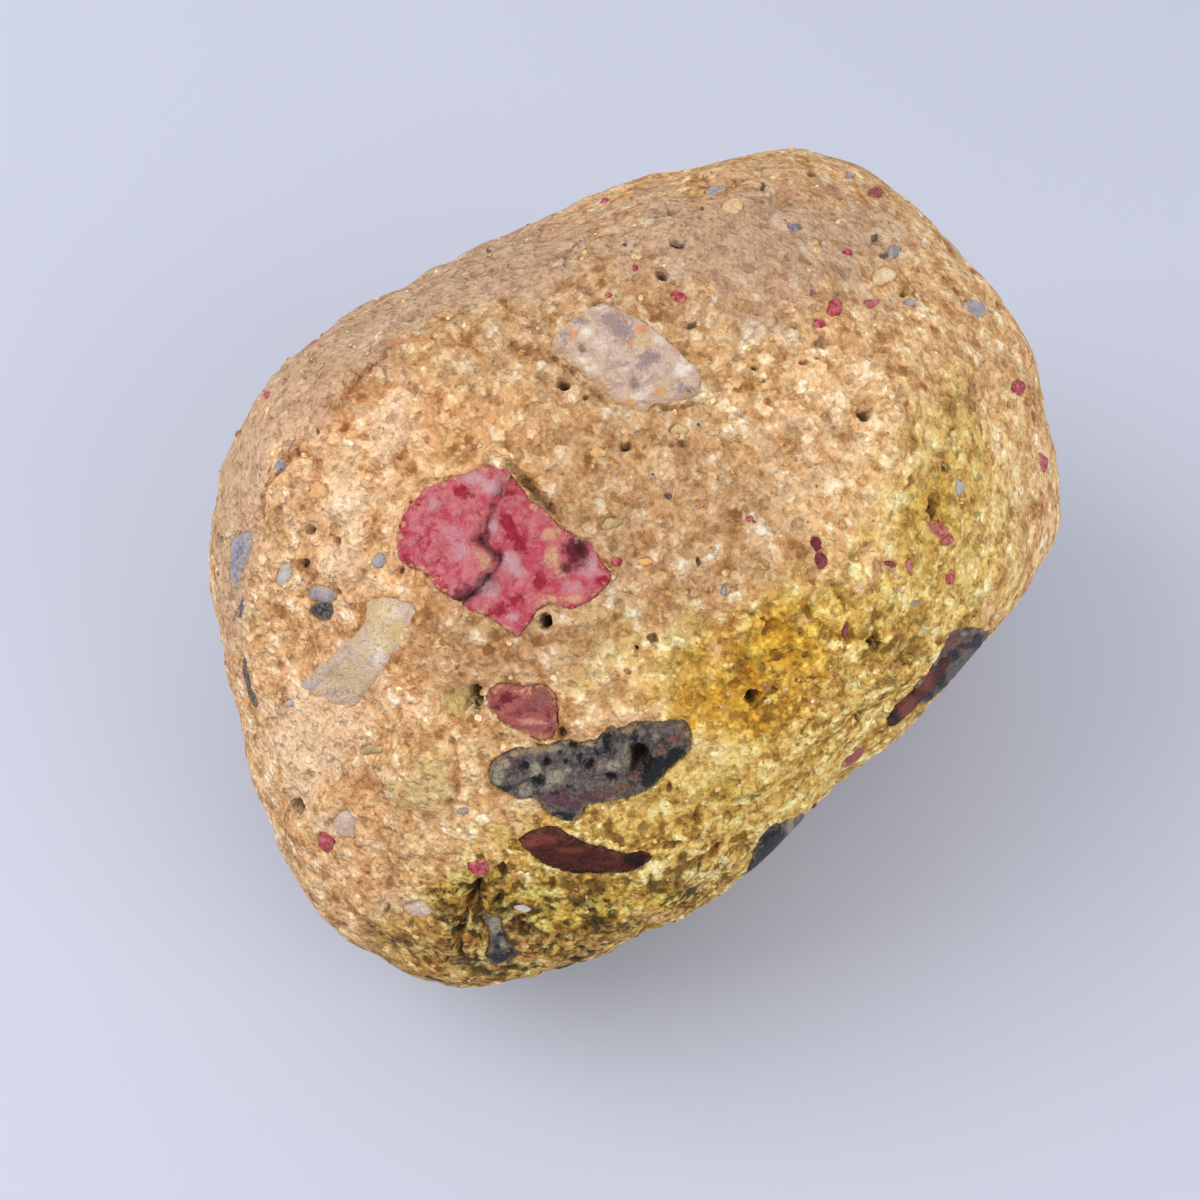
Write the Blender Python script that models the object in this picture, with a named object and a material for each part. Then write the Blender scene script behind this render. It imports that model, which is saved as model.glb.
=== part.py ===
"""A puddingstone cobble, worn to a rounded block and resting on a small flat spot.

Sand, lime and pebbles set together as one rock, so the stone is one solid. Its form is a
many-sided block with worn corners. Pebbles that stand proud are fused to it, and pebbles
that weathered back and the voids left by lost grains are sunk into it.
"""

import math

import bmesh
import bpy
import numpy as np
from mathutils import Matrix, Vector, noise

MM = 0.001

# The show side is the one that carries the big red pebble. It looks this way, in degrees.
SHOW_AZIMUTH = -36.0
SHOW_ELEVATION = 58.0

# The middle of the stone, which the sizes below are taken from, is this high over the flat
# spot, and this far to the right of and behind the centre of the spot, in mm.
FOOT_HEIGHT = 30.6
MIDDLE_FROM_FOOT = (0.0, -0.1)

# Places on the show side are taken on a sighting plane in front of the middle, along lines
# of sight from a point further out. Both are in mm, to the right, up and out of that side.
SIGHT_POINT = Vector((-3.7, -2.5, 156.0))
SIGHT_PLANE = Vector((-3.7, -2.5, 6.0))
SIGHT_STEPS = 24
# Where the show side's right runs nearly straight into the skin, with less than this share
# of it along the skin, its up is used instead.
LEAST_ALONG = 0.2

# Each worn face that the show side or its rim has: clock angle on that side, anticlockwise
# from the right, tilt away from it, and distance from the middle in mm.
SHOW_FACES = {
    "upper left side": (128, 84, 38.5),
    "top side": (103, 86, 39.2),
    "top right corner": (58, 82, 48.0),
    "right shoulder": (36, 84, 47.8),
    "right end": (12, 84, 46.0),
    "right end low": (-20, 84, 40.5),
    "lower right side": (-46, 86, 30.4),
    "bottom side": (-69, 84, 34.6),
    "bottom left corner": (-117, 82, 50.5),
    "left end low": (-150, 84, 47.0),
    "left end": (-172, 84, 43.0),
    "left end high": (166, 82, 48.0),
    "show side": (95, 10, 31.5),
    "show middle": (-75, 24, 32.0),
    "show low left": (-150, 40, 37.0),
    "show low": (-100, 55, 41.4),
    "show low right": (-50, 32, 33.2),
    "underside rim": (-47, 66, 30.8),
    "show top": (112, 60, 37.2),
    "show top right": (48, 42, 38.5),
    "show right": (0, 45, 37.0),
    "left strip": (158, 69, 43.8),
}
# The faces of the hidden sides: bearing and elevation seen from the middle, and distance.
HIDDEN_FACES = {
    "foot front": (-100, -71, 31.3),
    "foot right": (-10, -70, 32.9),
    "foot rear": (85, -70, 32.2),
    "foot left": (175, -72, 32.3),
    "under front": (-80, -42, 31.5),
    "under right": (-22, -42, 38.5),
    "under rear": (62, -38, 36.5),
    "under rear left": (120, -40, 37.5),
    "under left": (196, -44, 45.5),
    "rear": (84, -4, 36.0),
    "rear right": (40, -8, 42.5),
    "rear left": (138, -6, 46.5),
}
CORNER_POWER = 17.0

# Lumps and hollows of the worn skin: height and span of each size, in mm.
LUMPS = ((0.9, 17.0), (0.45, 7.0))
LUMP_SEED = Vector((3.1, 7.7, 1.9))
# The hidden sides are more uneven still: height and span there, and the show side's share
# of a direction where that fades in, and over how much more of it.
HIDDEN_LUMP = (2.0, 27.0)
HIDDEN_FROM = -0.1
HIDDEN_FADE = 0.5

BODY_SUBDIVISIONS = 5
# Corners closer than this along the joins, in metres, are one corner.
JOIN_GAP = 0.00003

# Pebbles that stand proud of the skin, as outlines on the sighting plane.
# Each has its height in mm, then its corners, to the right and up of the plane's middle.
PROUD = {
    "red jasper, upper half": (0.45, (
        (-20.2, 6.8), (-19.0, 9.3), (-16.9, 11.4), (-13.7, 12.9), (-11.8, 13.6), (-10.9, 11.6),
        (-10.8, 8.8), (-12.2, 6.5), (-10.3, 4.2), (-12.0, 1.6), (-13.6, 0.1), (-15.0, 0.0),
        (-17.6, 2.8), (-19.6, 3.4),
    )),
    "mauve jasper": (0.4, (
        (-11.7, -10.0), (-10.6, -8.7), (-8.4, -8.4), (-5.4, -8.5), (-4.4, -9.8), (-4.1, -12.0),
        (-5.4, -13.8), (-8.6, -13.2), (-10.6, -11.6),
    )),
    "black chert": (0.35, (
        (-11.0, -17.6), (-9.8, -15.6), (-7.4, -14.7), (-4.6, -14.1), (-0.4, -13.9), (0.9, -12.8),
        (5.0, -12.3), (8.6, -12.0), (9.2, -13.2), (8.8, -15.2), (7.2, -17.0), (3.4, -19.4),
        (-0.2, -20.7), (-2.8, -22.2), (-5.2, -22.0), (-7.2, -19.9), (-9.8, -19.2),
    )),
    "vein quartz": (0.6, (
        (-5.0, 25.8), (-3.4, 28.0), (-1.4, 29.8), (0.8, 30.1), (3.4, 28.4), (6.8, 26.0),
        (9.2, 23.8), (10.1, 22.1), (9.5, 20.2), (6.4, 19.5), (3.6, 18.4), (0.2, 20.8),
        (-2.4, 23.0), (-4.2, 24.4),
    )),
    "pale quartz": (0.35, (
        (-22.8, 0.4), (-20.6, 0.9), (-18.6, -1.0), (-20.4, -4.6), (-22.6, -7.6), (-25.2, -9.8),
        (-28.4, -9.6), (-29.4, -7.6), (-26.6, -5.4), (-25.0, -2.6),
    )),
    "yellow quartz": (0.45, (
        (-26.0, -14.4), (-22.0, -13.0), (-18.0, -12.2), (-15.4, -13.6), (-14.7, -16.6),
        (-16.2, -19.4), (-19.6, -20.2), (-23.0, -19.0), (-26.2, -17.4),
    )),
    "low left pebble": (0.4, (
        (-27.8, -21.0), (-25.6, -19.8), (-23.6, -21.6), (-23.0, -24.2), (-25.2, -26.0),
        (-27.2, -24.6),
    )),
    "rust ironstone": (0.3, (
        (-20.6, 19.4), (-18.6, 20.6), (-16.6, 19.2), (-16.8, 16.0), (-18.8, 14.4), (-21.0, 16.4),
    )),
}

# Pebbles that weathered back below the skin, in the same terms, with a depth.
SUNK = {
    "red jasper, lower half": (0.55, (
        (-10.2, 13.2), (-8.6, 12.6), (-6.8, 10.2), (-4.9, 8.7), (-2.4, 6.8), (-0.5, 4.9),
        (0.9, 2.8), (1.1, 1.5), (-1.0, -0.3), (-4.5, -0.6), (-6.2, -1.2), (-8.3, -3.9),
        (-11.4, -2.2), (-13.1, -1.2), (-12.8, -0.2), (-11.4, 1.4), (-9.6, 4.2), (-11.4, 6.4),
        (-10.0, 8.8),
    )),
    "brown ironstone": (0.35, (
        (-8.2, -24.1), (-6.9, -22.8), (-5.0, -22.7), (-0.6, -24.7), (3.9, -25.2), (5.5, -25.8),
        (3.9, -27.1), (0.4, -27.7), (-3.1, -27.6), (-6.0, -26.6),
    )),
    "dark wedge": (0.4, (
        (-12.2, -31.6), (-10.2, -31.4), (-8.8, -34.4), (-6.6, -35.4), (-9.6, -36.8),
        (-12.0, -35.2),
    )),
}

# Pebbles on the other sides: clock angle, tilt, length, width, turn, and height in mm,
# which is below zero where the pebble is sunk.
OTHER_PEBBLES = (
    (78, 112, 13, 9, 20, 0.5),
    (112, 128, 8, 6, 70, 0.5),
    (40, 118, 11, 7, -30, -0.5),
    (150, 112, 9, 7, 10, 0.5),
    (176, 128, 14, 10, 60, 0.5),
    (-158, 112, 8, 5, 35, -0.4),
    (-122, 116, 11, 8, -15, 0.5),
    (-20, 116, 12, 9, 40, 0.5),
    (8, 138, 10, 7, -60, 0.5),
    (62, 148, 15, 10, 15, -0.5),
    (128, 152, 9, 7, 80, 0.5),
)
PEBBLE_SIDES = 10
PEBBLE_WOBBLE = 0.22

# The section through a proud pebble: shares of the way out to its edge and of its height,
# then its root, as such shares and mm over the skin.
PROUD_SECTION = ((0.0, 1.0), (0.5, 1.0), (0.86, 0.8), (1.0, 0.2))
PROUD_ROOT = ((0.96, -1.0), (0.0, -2.5))
# The section that a sunk pebble's hollow is cut to: the cutter's top, then the hollow.
SUNK_TOP = ((0.0, 2.0), (1.02, 1.5))
SUNK_SECTION = ((1.0, 0.3), (0.88, 1.0), (0.5, 1.0), (0.0, 1.0))

# Voids where grains fell out: place on the sighting plane, width, height and depth in mm.
SHOW_VOIDS = (
    (-13.3, -9.9, 3.6, 2.7, 3.2),
    (-3.9, 21.6, 1.5, 1.3, 1.8),
    (-30.4, -20.8, 1.5, 2.2, 2.4),
    (-5.4, -2.3, 1.7, 1.6, 2.2),
    (15.1, -10.0, 1.5, 2.0, 1.8),
    (26.2, 18.7, 2.0, 1.4, 1.6),
    (7.8, 35.8, 1.9, 1.3, 1.4),
    (33.4, 9.3, 1.4, 2.4, 1.8),
    (27.4, -4.6, 1.9, 1.8, 1.6),
    (-2.4, 3.5, 2.4, 3.2, 1.3),
    (4.4, -15.4, 3.4, 2.0, 1.5),
    (2.4, 15.4, 1.8, 1.4, 1.4),
    (-25.6, -32.4, 1.6, 1.3, 1.6),
    (21.2, 42.6, 1.4, 1.2, 1.4),
)
# The same on the other sides: clock angle, tilt, width, height and depth.
OTHER_VOIDS = (
    (95, 104, 2.6, 1.9, 2.0),
    (66, 128, 1.9, 1.6, 1.8),
    (130, 108, 2.0, 1.5, 1.6),
    (158, 132, 2.8, 2.0, 2.4),
    (-172, 108, 1.8, 2.4, 1.8),
    (-136, 104, 2.0, 1.6, 1.6),
    (-4, 112, 2.4, 1.8, 2.0),
    (24, 102, 1.7, 1.5, 1.6),
    (20, 148, 2.6, 2.2, 2.2),
    (95, 142, 2.2, 1.7, 1.8),
)

# A void is an egg: how far its middle is under the skin and how far it reaches out from
# there, as shares of its depth, and how finely it is made.
VOID_SINK = 0.2
VOID_REACH = 0.8
VOID_SUBDIVISIONS = 2

MATRIX_COLOUR = (0.42, 0.28, 0.15, 1.0)
MATRIX_ROUGHNESS = 0.88


def show_frame():
    """The directions right, up and out of the show side, as columns."""
    azimuth, elevation = math.radians(SHOW_AZIMUTH), math.radians(SHOW_ELEVATION)
    right = Vector((math.cos(azimuth), math.sin(azimuth), 0.0))
    out = Vector((
        math.sin(azimuth) * math.cos(elevation),
        -math.cos(azimuth) * math.cos(elevation),
        math.sin(elevation),
    ))
    return Matrix((right, out.cross(right), out)).transposed()


SHOW = show_frame()


def toward(clock, tilt):
    """The direction at a clock angle on the show side, tilted away from it."""
    clock, tilt = math.radians(clock), math.radians(tilt)
    return SHOW @ Vector((
        math.sin(tilt) * math.cos(clock),
        math.sin(tilt) * math.sin(clock),
        math.cos(tilt),
    ))


def bearing(azimuth, elevation):
    """The direction at a bearing anticlockwise from the right, and an elevation."""
    azimuth, elevation = math.radians(azimuth), math.radians(elevation)
    return Vector((
        math.cos(azimuth) * math.cos(elevation),
        math.sin(azimuth) * math.cos(elevation),
        math.sin(elevation),
    ))


MIDDLE = Vector((*MIDDLE_FROM_FOOT, FOOT_HEIGHT))
FACE_NORMALS = np.array(
    [toward(clock, tilt) for clock, tilt, _ in SHOW_FACES.values()]
    + [bearing(azimuth, elevation) for azimuth, elevation, _ in HIDDEN_FACES.values()]
)
FACE_REACHES = np.array(
    [distance for *_, distance in (*SHOW_FACES.values(), *HIDDEN_FACES.values())]
)


def reach(direction):
    """Distance in mm from the middle to the skin: the faces, blended over worn corners."""
    facing = np.maximum(FACE_NORMALS @ np.array(direction), 0.0) / FACE_REACHES
    block = float((facing**CORNER_POWER).sum() ** (-1.0 / CORNER_POWER))
    spot = direction * block
    hidden = min(max(HIDDEN_FROM - direction.dot(SHOW.col[2]), 0.0) / HIDDEN_FADE, 1.0)
    sizes = ((hidden * HIDDEN_LUMP[0], HIDDEN_LUMP[1]), *LUMPS)
    return block + sum(
        height * noise.noise(spot / span + LUMP_SEED) for height, span in sizes
    )


def skin_point(direction, height=0.0):
    """The point of the skin that way from the middle, or this far in mm above it."""
    return (MIDDLE + direction * (reach(direction) + height)) * MM


def sighted(right, up):
    """The direction from the middle to where a line of sight meets the skin."""
    eye = SHOW @ SIGHT_POINT
    plane = SHOW @ (SIGHT_PLANE + Vector((right, up, 0.0)))
    along = (plane - eye).normalized()
    near, far = 0.0, -eye.dot(along)
    for _ in range(SIGHT_STEPS):
        halfway = (near + far) / 2
        point = eye + along * halfway
        if point.length > reach(point.normalized()):
            near = halfway
        else:
            far = halfway
    return (eye + along * far).normalized()


def across(direction):
    """Two directions along the skin there, the first level with the show side's right."""
    first = SHOW.col[0] - direction * SHOW.col[0].dot(direction)
    if first.length < LEAST_ALONG:
        first = SHOW.col[1] - direction * SHOW.col[1].dot(direction)
    first.normalize()
    return first, direction.cross(first)


def linked(name, mesh):
    made = bpy.data.objects.new(name, mesh)
    bpy.context.scene.collection.objects.link(made)
    return made


def body():
    """The worn block, from an even ball of points, cut flat at the spot it rests on."""
    ball = bmesh.new()
    bmesh.ops.create_icosphere(ball, subdivisions=BODY_SUBDIVISIONS, radius=1.0)
    for corner in ball.verts:
        corner.co = skin_point(corner.co.normalized())
    cut = bmesh.ops.bisect_plane(
        ball,
        geom=ball.verts[:] + ball.edges[:] + ball.faces[:],
        plane_co=(0, 0, 0),
        plane_no=(0, 0, -1),
        clear_outer=True,
    )
    rim = [piece for piece in cut["geom_cut"] if isinstance(piece, bmesh.types.BMEdge)]
    bmesh.ops.contextual_create(ball, geom=rim)
    bmesh.ops.recalc_face_normals(ball, faces=ball.faces)
    mesh = bpy.data.meshes.new("puddingstone")
    ball.to_mesh(mesh)
    ball.free()
    return linked("puddingstone", mesh)


def plate(name, outline, profile):
    """A closed solid over an outline of directions. The profile runs from its outer pole to
    its inner one, as shares of the way from the outline's middle to its edge, and heights."""
    hub = sum(outline, Vector()).normalized()
    solid = bmesh.new()
    rings = []
    for share, height in profile[1:-1]:
        ways = [hub.lerp(corner, share).normalized() for corner in outline]
        rings.append([solid.verts.new(skin_point(way, height)) for way in ways])
    outer = solid.verts.new(skin_point(hub, profile[0][1]))
    inner = solid.verts.new(skin_point(hub, profile[-1][1]))
    count = len(outline)
    for turn in range(count):
        after = (turn + 1) % count
        solid.faces.new((outer, rings[0][turn], rings[0][after]))
        solid.faces.new((inner, rings[-1][after], rings[-1][turn]))
        for upper, lower in zip(rings, rings[1:]):
            solid.faces.new((upper[turn], lower[turn], lower[after], upper[after]))
    if solid.calc_volume(signed=True) < 0:
        bmesh.ops.reverse_faces(solid, faces=solid.faces)
    mesh = bpy.data.meshes.new(name)
    solid.to_mesh(mesh)
    solid.free()
    return linked(name, mesh)


def proud_profile(height):
    return (*((out, share * height) for out, share in PROUD_SECTION), *PROUD_ROOT)


def sunk_profile(depth):
    return (*SUNK_TOP, *((out, -share * depth) for out, share in SUNK_SECTION))


def pebble_outline(middle, length, width, turn, seed):
    """A rounded, uneven outline of directions about a middle one."""
    first, second = across(middle)
    distance = reach(middle)
    turn = math.radians(turn)
    corners = []
    for side in range(PEBBLE_SIDES):
        angle = 2 * math.pi * side / PEBBLE_SIDES
        wobble = 1 + PEBBLE_WOBBLE * noise.noise(
            Vector((math.cos(angle), math.sin(angle), seed))
        )
        along = length / 2 * wobble * math.cos(angle)
        over = width / 2 * wobble * math.sin(angle)
        corners.append((
            middle * distance
            + first * (along * math.cos(turn) - over * math.sin(turn))
            + second * (along * math.sin(turn) + over * math.cos(turn))
        ).normalized())
    return corners


def void(name, direction, width, height, depth):
    """The cutter for one void: an egg with its middle just under the skin."""
    first, second = across(direction)
    egg = bmesh.new()
    bmesh.ops.create_icosphere(egg, subdivisions=VOID_SUBDIVISIONS, radius=1.0)
    centre = skin_point(direction, -VOID_SINK * depth)
    for corner in egg.verts:
        corner.co = centre + MM * (
            first * corner.co.x * width / 2
            + second * corner.co.y * height / 2
            + direction * corner.co.z * depth * VOID_REACH
        )
    mesh = bpy.data.meshes.new(name)
    egg.to_mesh(mesh)
    egg.free()
    return linked(name, mesh)


def helper_collection(name, helpers):
    """Puts shapes that only join or cut the stone in a collection that no render shows."""
    group = bpy.data.collections.new(name)
    bpy.context.scene.collection.children.link(group)
    for helper in helpers:
        bpy.context.scene.collection.objects.unlink(helper)
        group.objects.link(helper)
        helper.hide_render = True
        helper.display_type = "WIRE"
    return group


def combine(stone, name, operation, helpers):
    step = stone.modifiers.new(name, "BOOLEAN")
    step.operation = operation
    step.solver = "EXACT"
    step.operand_type = "COLLECTION"
    step.collection = helper_collection(name, helpers)


def matrix_material():
    made = bpy.data.materials.new("sandy matrix")
    made.use_nodes = True
    surface = made.node_tree.nodes["Principled BSDF"]
    surface.inputs["Base Color"].default_value = MATRIX_COLOUR
    surface.inputs["Roughness"].default_value = MATRIX_ROUGHNESS
    surface.inputs["Metallic"].default_value = 0.0
    return made


def main():
    for old in list(bpy.data.objects):
        bpy.data.objects.remove(old)
    stone = body()
    stone.data.materials.append(matrix_material())

    proud = [
        plate(name, [sighted(*corner) for corner in outline], proud_profile(height))
        for name, (height, outline) in PROUD.items()
    ]
    cut = [
        plate(name, [sighted(*corner) for corner in outline], sunk_profile(depth))
        for name, (depth, outline) in SUNK.items()
    ]
    for number, (clock, tilt, length, width, turn, height) in enumerate(OTHER_PEBBLES):
        outline = pebble_outline(toward(clock, tilt), length, width, turn, number)
        if height > 0:
            proud.append(plate(f"other pebble {number}", outline, proud_profile(height)))
        else:
            cut.append(plate(f"other pebble {number}", outline, sunk_profile(-height)))

    for number, (right, up, *sizes) in enumerate(SHOW_VOIDS):
        cut.append(void(f"show void {number}", sighted(right, up), *sizes))
    for number, (clock, tilt, *sizes) in enumerate(OTHER_VOIDS):
        cut.append(void(f"other void {number}", toward(clock, tilt), *sizes))

    combine(stone, "proud pebbles", "UNION", proud)
    combine(stone, "sunk pebbles and voids", "DIFFERENCE", cut)
    joins = stone.modifiers.new("clean joins", "WELD")
    joins.merge_threshold = JOIN_GAP


main()
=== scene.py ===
import math
import random

import bmesh
import bpy
import numpy as np
from mathutils import Matrix, Vector, noise
from mathutils.bvhtree import BVHTree
from mathutils.geometry import delaunay_2d_cdt


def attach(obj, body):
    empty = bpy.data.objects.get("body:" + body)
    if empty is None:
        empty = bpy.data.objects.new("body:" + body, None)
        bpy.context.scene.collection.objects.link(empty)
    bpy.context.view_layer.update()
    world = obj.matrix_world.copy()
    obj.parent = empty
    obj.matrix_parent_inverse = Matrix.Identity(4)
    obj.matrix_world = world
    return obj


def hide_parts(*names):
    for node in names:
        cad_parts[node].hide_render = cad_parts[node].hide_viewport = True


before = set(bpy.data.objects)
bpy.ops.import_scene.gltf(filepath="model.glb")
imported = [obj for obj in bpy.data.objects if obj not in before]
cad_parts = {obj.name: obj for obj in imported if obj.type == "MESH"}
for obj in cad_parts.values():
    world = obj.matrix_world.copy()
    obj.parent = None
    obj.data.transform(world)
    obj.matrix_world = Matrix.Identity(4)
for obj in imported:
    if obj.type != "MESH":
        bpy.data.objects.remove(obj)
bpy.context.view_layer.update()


# The viewpoint. The stone is looked down on from close by, on the side with the big red
# pebble. What is placed on that side is placed along a line of sight from here.

MM = 0.001
SHOW_AZIMUTH = -36.0
SHOW_ELEVATION = 58.0
MIDDLE = Vector((0.0, -0.1, 30.6))
AIM_TO_MIDDLE = Vector((3.7, 2.5, -6.0))
EYE_DISTANCE = 150.0
IMAGE_SIDE = 1200
FOCAL_PIXELS = 1500
SENSOR = 36.0


def show_frame():
    """The directions right, up and out of the show side, as columns."""
    azimuth = math.radians(SHOW_AZIMUTH)
    elevation = math.radians(SHOW_ELEVATION)
    right = Vector((math.cos(azimuth), math.sin(azimuth), 0.0))
    out = Vector((
        math.sin(azimuth) * math.cos(elevation),
        -math.cos(azimuth) * math.cos(elevation),
        math.sin(elevation),
    ))
    return Matrix((right, out.cross(right), out)).transposed()


SHOW = show_frame()
OUT = SHOW.col[2]
EYE = SHOW @ (Vector((0.0, 0.0, EYE_DISTANCE)) - AIM_TO_MIDDLE)


def linked(name, data):
    """A new object in the scene."""
    made = bpy.data.objects.new(name, data)
    bpy.context.scene.collection.objects.link(made)
    return made


camera = linked("camera", bpy.data.cameras.new("camera"))
camera.data.sensor_width = SENSOR
camera.data.lens = SENSOR * FOCAL_PIXELS / IMAGE_SIDE
camera.data.clip_start = 10 * MM
camera.matrix_world = Matrix.Translation((MIDDLE + EYE) * MM) @ SHOW.to_4x4()
bpy.context.scene.camera = camera


# The worn skin: the outside of the solid stone, with the flats between its corners eased
# out. Pebbles and sand are measured up from it in mm, along lines from the stone's middle.

FAR = 90.0
EASE_ANGLE = 0.05
EASE_RINGS = ((0.5, 5), (1.0, 9))
SKIN_SQUARES = 60
LEAST_ALONG = 0.2

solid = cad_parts["puddingstone"].data
solid_tree = BVHTree.FromPolygons(
    [corner.co / MM - MIDDLE for corner in solid.vertices],
    [tuple(face.vertices) for face in solid.polygons],
)


def across(direction):
    """Two directions along the skin there, the first level with the show side's right."""
    level = SHOW.col[0] - direction * SHOW.col[0].dot(direction)
    if level.length < LEAST_ALONG:
        level = SHOW.col[1] - direction * SHOW.col[1].dot(direction)
    level.normalize()
    return level, direction.cross(level)


def eased_reach(direction):
    """How far the solid reaches that way from the middle, averaged over a small disc."""
    first, second = across(direction)
    ways = [direction]
    for share, count in EASE_RINGS:
        for step in range(count):
            turn = 2 * math.pi * step / count
            aside = math.cos(turn) * first + math.sin(turn) * second
            ways.append((direction + share * EASE_ANGLE * aside).normalized())
    return sum(solid_tree.ray_cast(way * FAR, -way)[0].length for way in ways) / len(ways)


def ball(squares):
    """An even ball of directions: a cube's squares, drawn out to a sphere."""
    made = bmesh.new()
    bmesh.ops.create_cube(made, size=2.0)
    bmesh.ops.subdivide_edges(made, edges=made.edges, cuts=squares - 1, use_grid_fill=True)
    for corner in made.verts:
        corner.co = Vector(math.tan(part * math.pi / 4) for part in corner.co).normalized()
    return made


skin_ball = ball(SKIN_SQUARES)
for corner in skin_ball.verts:
    corner.co *= eased_reach(corner.co)
skin_tree = BVHTree.FromBMesh(skin_ball)
skin_ball.free()


def reach(direction):
    """How far the worn skin is that way from the middle."""
    return skin_tree.ray_cast(direction * FAR, -direction)[0].length


def seen_at(column, row):
    """The direction from the middle to what shows at a pixel of the photograph."""
    half = IMAGE_SIDE / 2
    sight = (SHOW @ Vector((column - half, half - row, -FOCAL_PIXELS))).normalized()
    hit = skin_tree.ray_cast(EYE, sight)[0]
    if hit is None:
        hit = skin_tree.find_nearest(EYE - sight * EYE.dot(sight))[0]
    return hit.normalized()


def pixels_of(places):
    """The column and row of the photograph that places, in mm from the middle, show at."""
    turned = (places - np.array(EYE)) @ np.array(SHOW)
    scale = -FOCAL_PIXELS / turned[:, 2]
    return np.stack([IMAGE_SIDE / 2 + turned[:, 0] * scale, IMAGE_SIDE / 2 - turned[:, 1] * scale], 1)


# Red jasper: hard crimson pebbles, the largest near the middle of the show side. Each was
# cemented into the sand and worn back level with it, and the large one has split in two.

EDGE_DEPTH = 0.5
SANDY_RIM = 1.6
NEAR_HUB = 0.5
PIP_SIDES = 7
PIP_PROUD = 0.12
PEBBLE_SIDES = 10
# Strewn pebbles: the cosines that their tilts lie between, their least length in mm and how
# much the longest add to it.
STREWN_TILTS = (-0.99, 0.05)
LEAST_STREWN = 0.8
MORE_STREWN = 2.4
# Each pebble's bed in the sand: its hub, its outline, how deep it is and its lip, in mm.
beds = []


def smooth(values, low, high):
    share = np.clip((values - low) / (high - low), 0, 1)
    return share * share * (3 - 2 * share)


def noise_at(places, span, seed):
    """Smooth noise from about -1 to 1, in lumps of the given span."""
    shift = Vector((seed, 1.7 * seed, -2.3 * seed))
    return np.array([noise.noise(Vector(place) / span + shift) for place in places])


def noises(places, *layers):
    """Layers of smooth noise added together, each a height, a span and a seed."""
    return sum(height * noise_at(places, span, seed) for height, span, seed in layers)


def flattened(directions, hub):
    """Directions near a hub, as mm along the skin from it, and which of them are near."""
    first, second = across(hub)
    facing = directions @ np.array(hub)
    near = facing > NEAR_HUB
    aside = np.stack([directions @ np.array(first), directions @ np.array(second)], 1)
    return aside * (reach(hub) / np.where(near, facing, 1.0))[:, None], near


def raised_ways(flat, hub):
    """The directions that lie the given mm along the skin from a hub."""
    first, second = across(hub)
    ways = np.array(hub) * reach(hub) + np.outer(flat[:, 0], first) + np.outer(flat[:, 1], second)
    return ways / np.linalg.norm(ways, axis=1, keepdims=True)


def inside_by(points, outline):
    """How far inside an outline flat points are, in mm. It is below zero outside."""
    after = np.roll(outline, -1, 0)
    side = after - outline
    offset = points[:, None] - outline
    along = np.clip((offset * side).sum(2) / (side**2).sum(1), 0, 1)
    gap = np.sqrt(((offset - along[..., None] * side) ** 2).sum(2)).min(1)
    straddles = (outline[:, 1] > points[:, None, 1]) != (after[:, 1] > points[:, None, 1])
    slope = side[:, 0] / np.where(side[:, 1] == 0, 1e-9, side[:, 1])
    crossed = straddles & (offset[..., 0] < slope * offset[..., 1])
    return np.where(crossed.sum(1) % 2 == 1, gap, -gap)


def ragged(corners, step, raggedness, seed):
    """A closed line through flat corners, rounded between them, with an uneven edge."""
    before, after, beyond = (np.roll(corners, turn, 0) for turn in (1, -1, -2))
    run = []
    for a, b, c, d in zip(before, corners, after, beyond):
        count = max(2, round(float(np.linalg.norm(c - b)) / step))
        t = (np.arange(count) / count)[:, None]
        run.append(
            b + 0.5 * t * (c - a) + t**2 * (a - 2.5 * b + 2 * c - 0.5 * d)
            + t**3 * (1.5 * b - 1.5 * c + 0.5 * (d - a))
        )
    line = np.concatenate(run)
    side = np.roll(line, -1, 0) - np.roll(line, 1, 0)
    normal = np.stack([side[:, 1], -side[:, 0]], 1) / np.linalg.norm(side, axis=1, keepdims=True)
    depth = np.c_[line, np.zeros(len(line))]
    push = noises(depth, (1.0, 1.7, seed), (0.7, 0.7, seed))
    return line + normal * (raggedness * push)[:, None]


def from_pixel(pixels, column, row, width, height):
    """How far pixels are from an oval spot, where its edge is 1."""
    return np.hypot((pixels[:, 0] - column) / width, (pixels[:, 1] - row) / height) * 2


def bells(pixels, places, spots):
    """Uneven soft spots, each a column, row, width, height and size, added together."""
    total = np.zeros(len(pixels))
    if not spots:
        return total
    wobble = noises(places, (0.25, 1.1, 8.0), (0.15, 0.5, 9.0))
    for *spot, size in spots:
        total += size * (1 - smooth(from_pixel(pixels, *spot) + wobble, 0.35, 1.3))
    return total


def along_line(pixels, line):
    """How far pixels are from a line through some pixels."""
    away = np.full(len(pixels), np.inf)
    for start, end in zip(np.array(line[:-1], float), np.array(line[1:], float)):
        run = end - start
        share = np.clip((pixels - start) @ run / (run @ run), 0, 1)
        gap = np.linalg.norm(pixels - start - share[:, None] * run, axis=1)
        away = np.minimum(away, gap)
    return away


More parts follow.
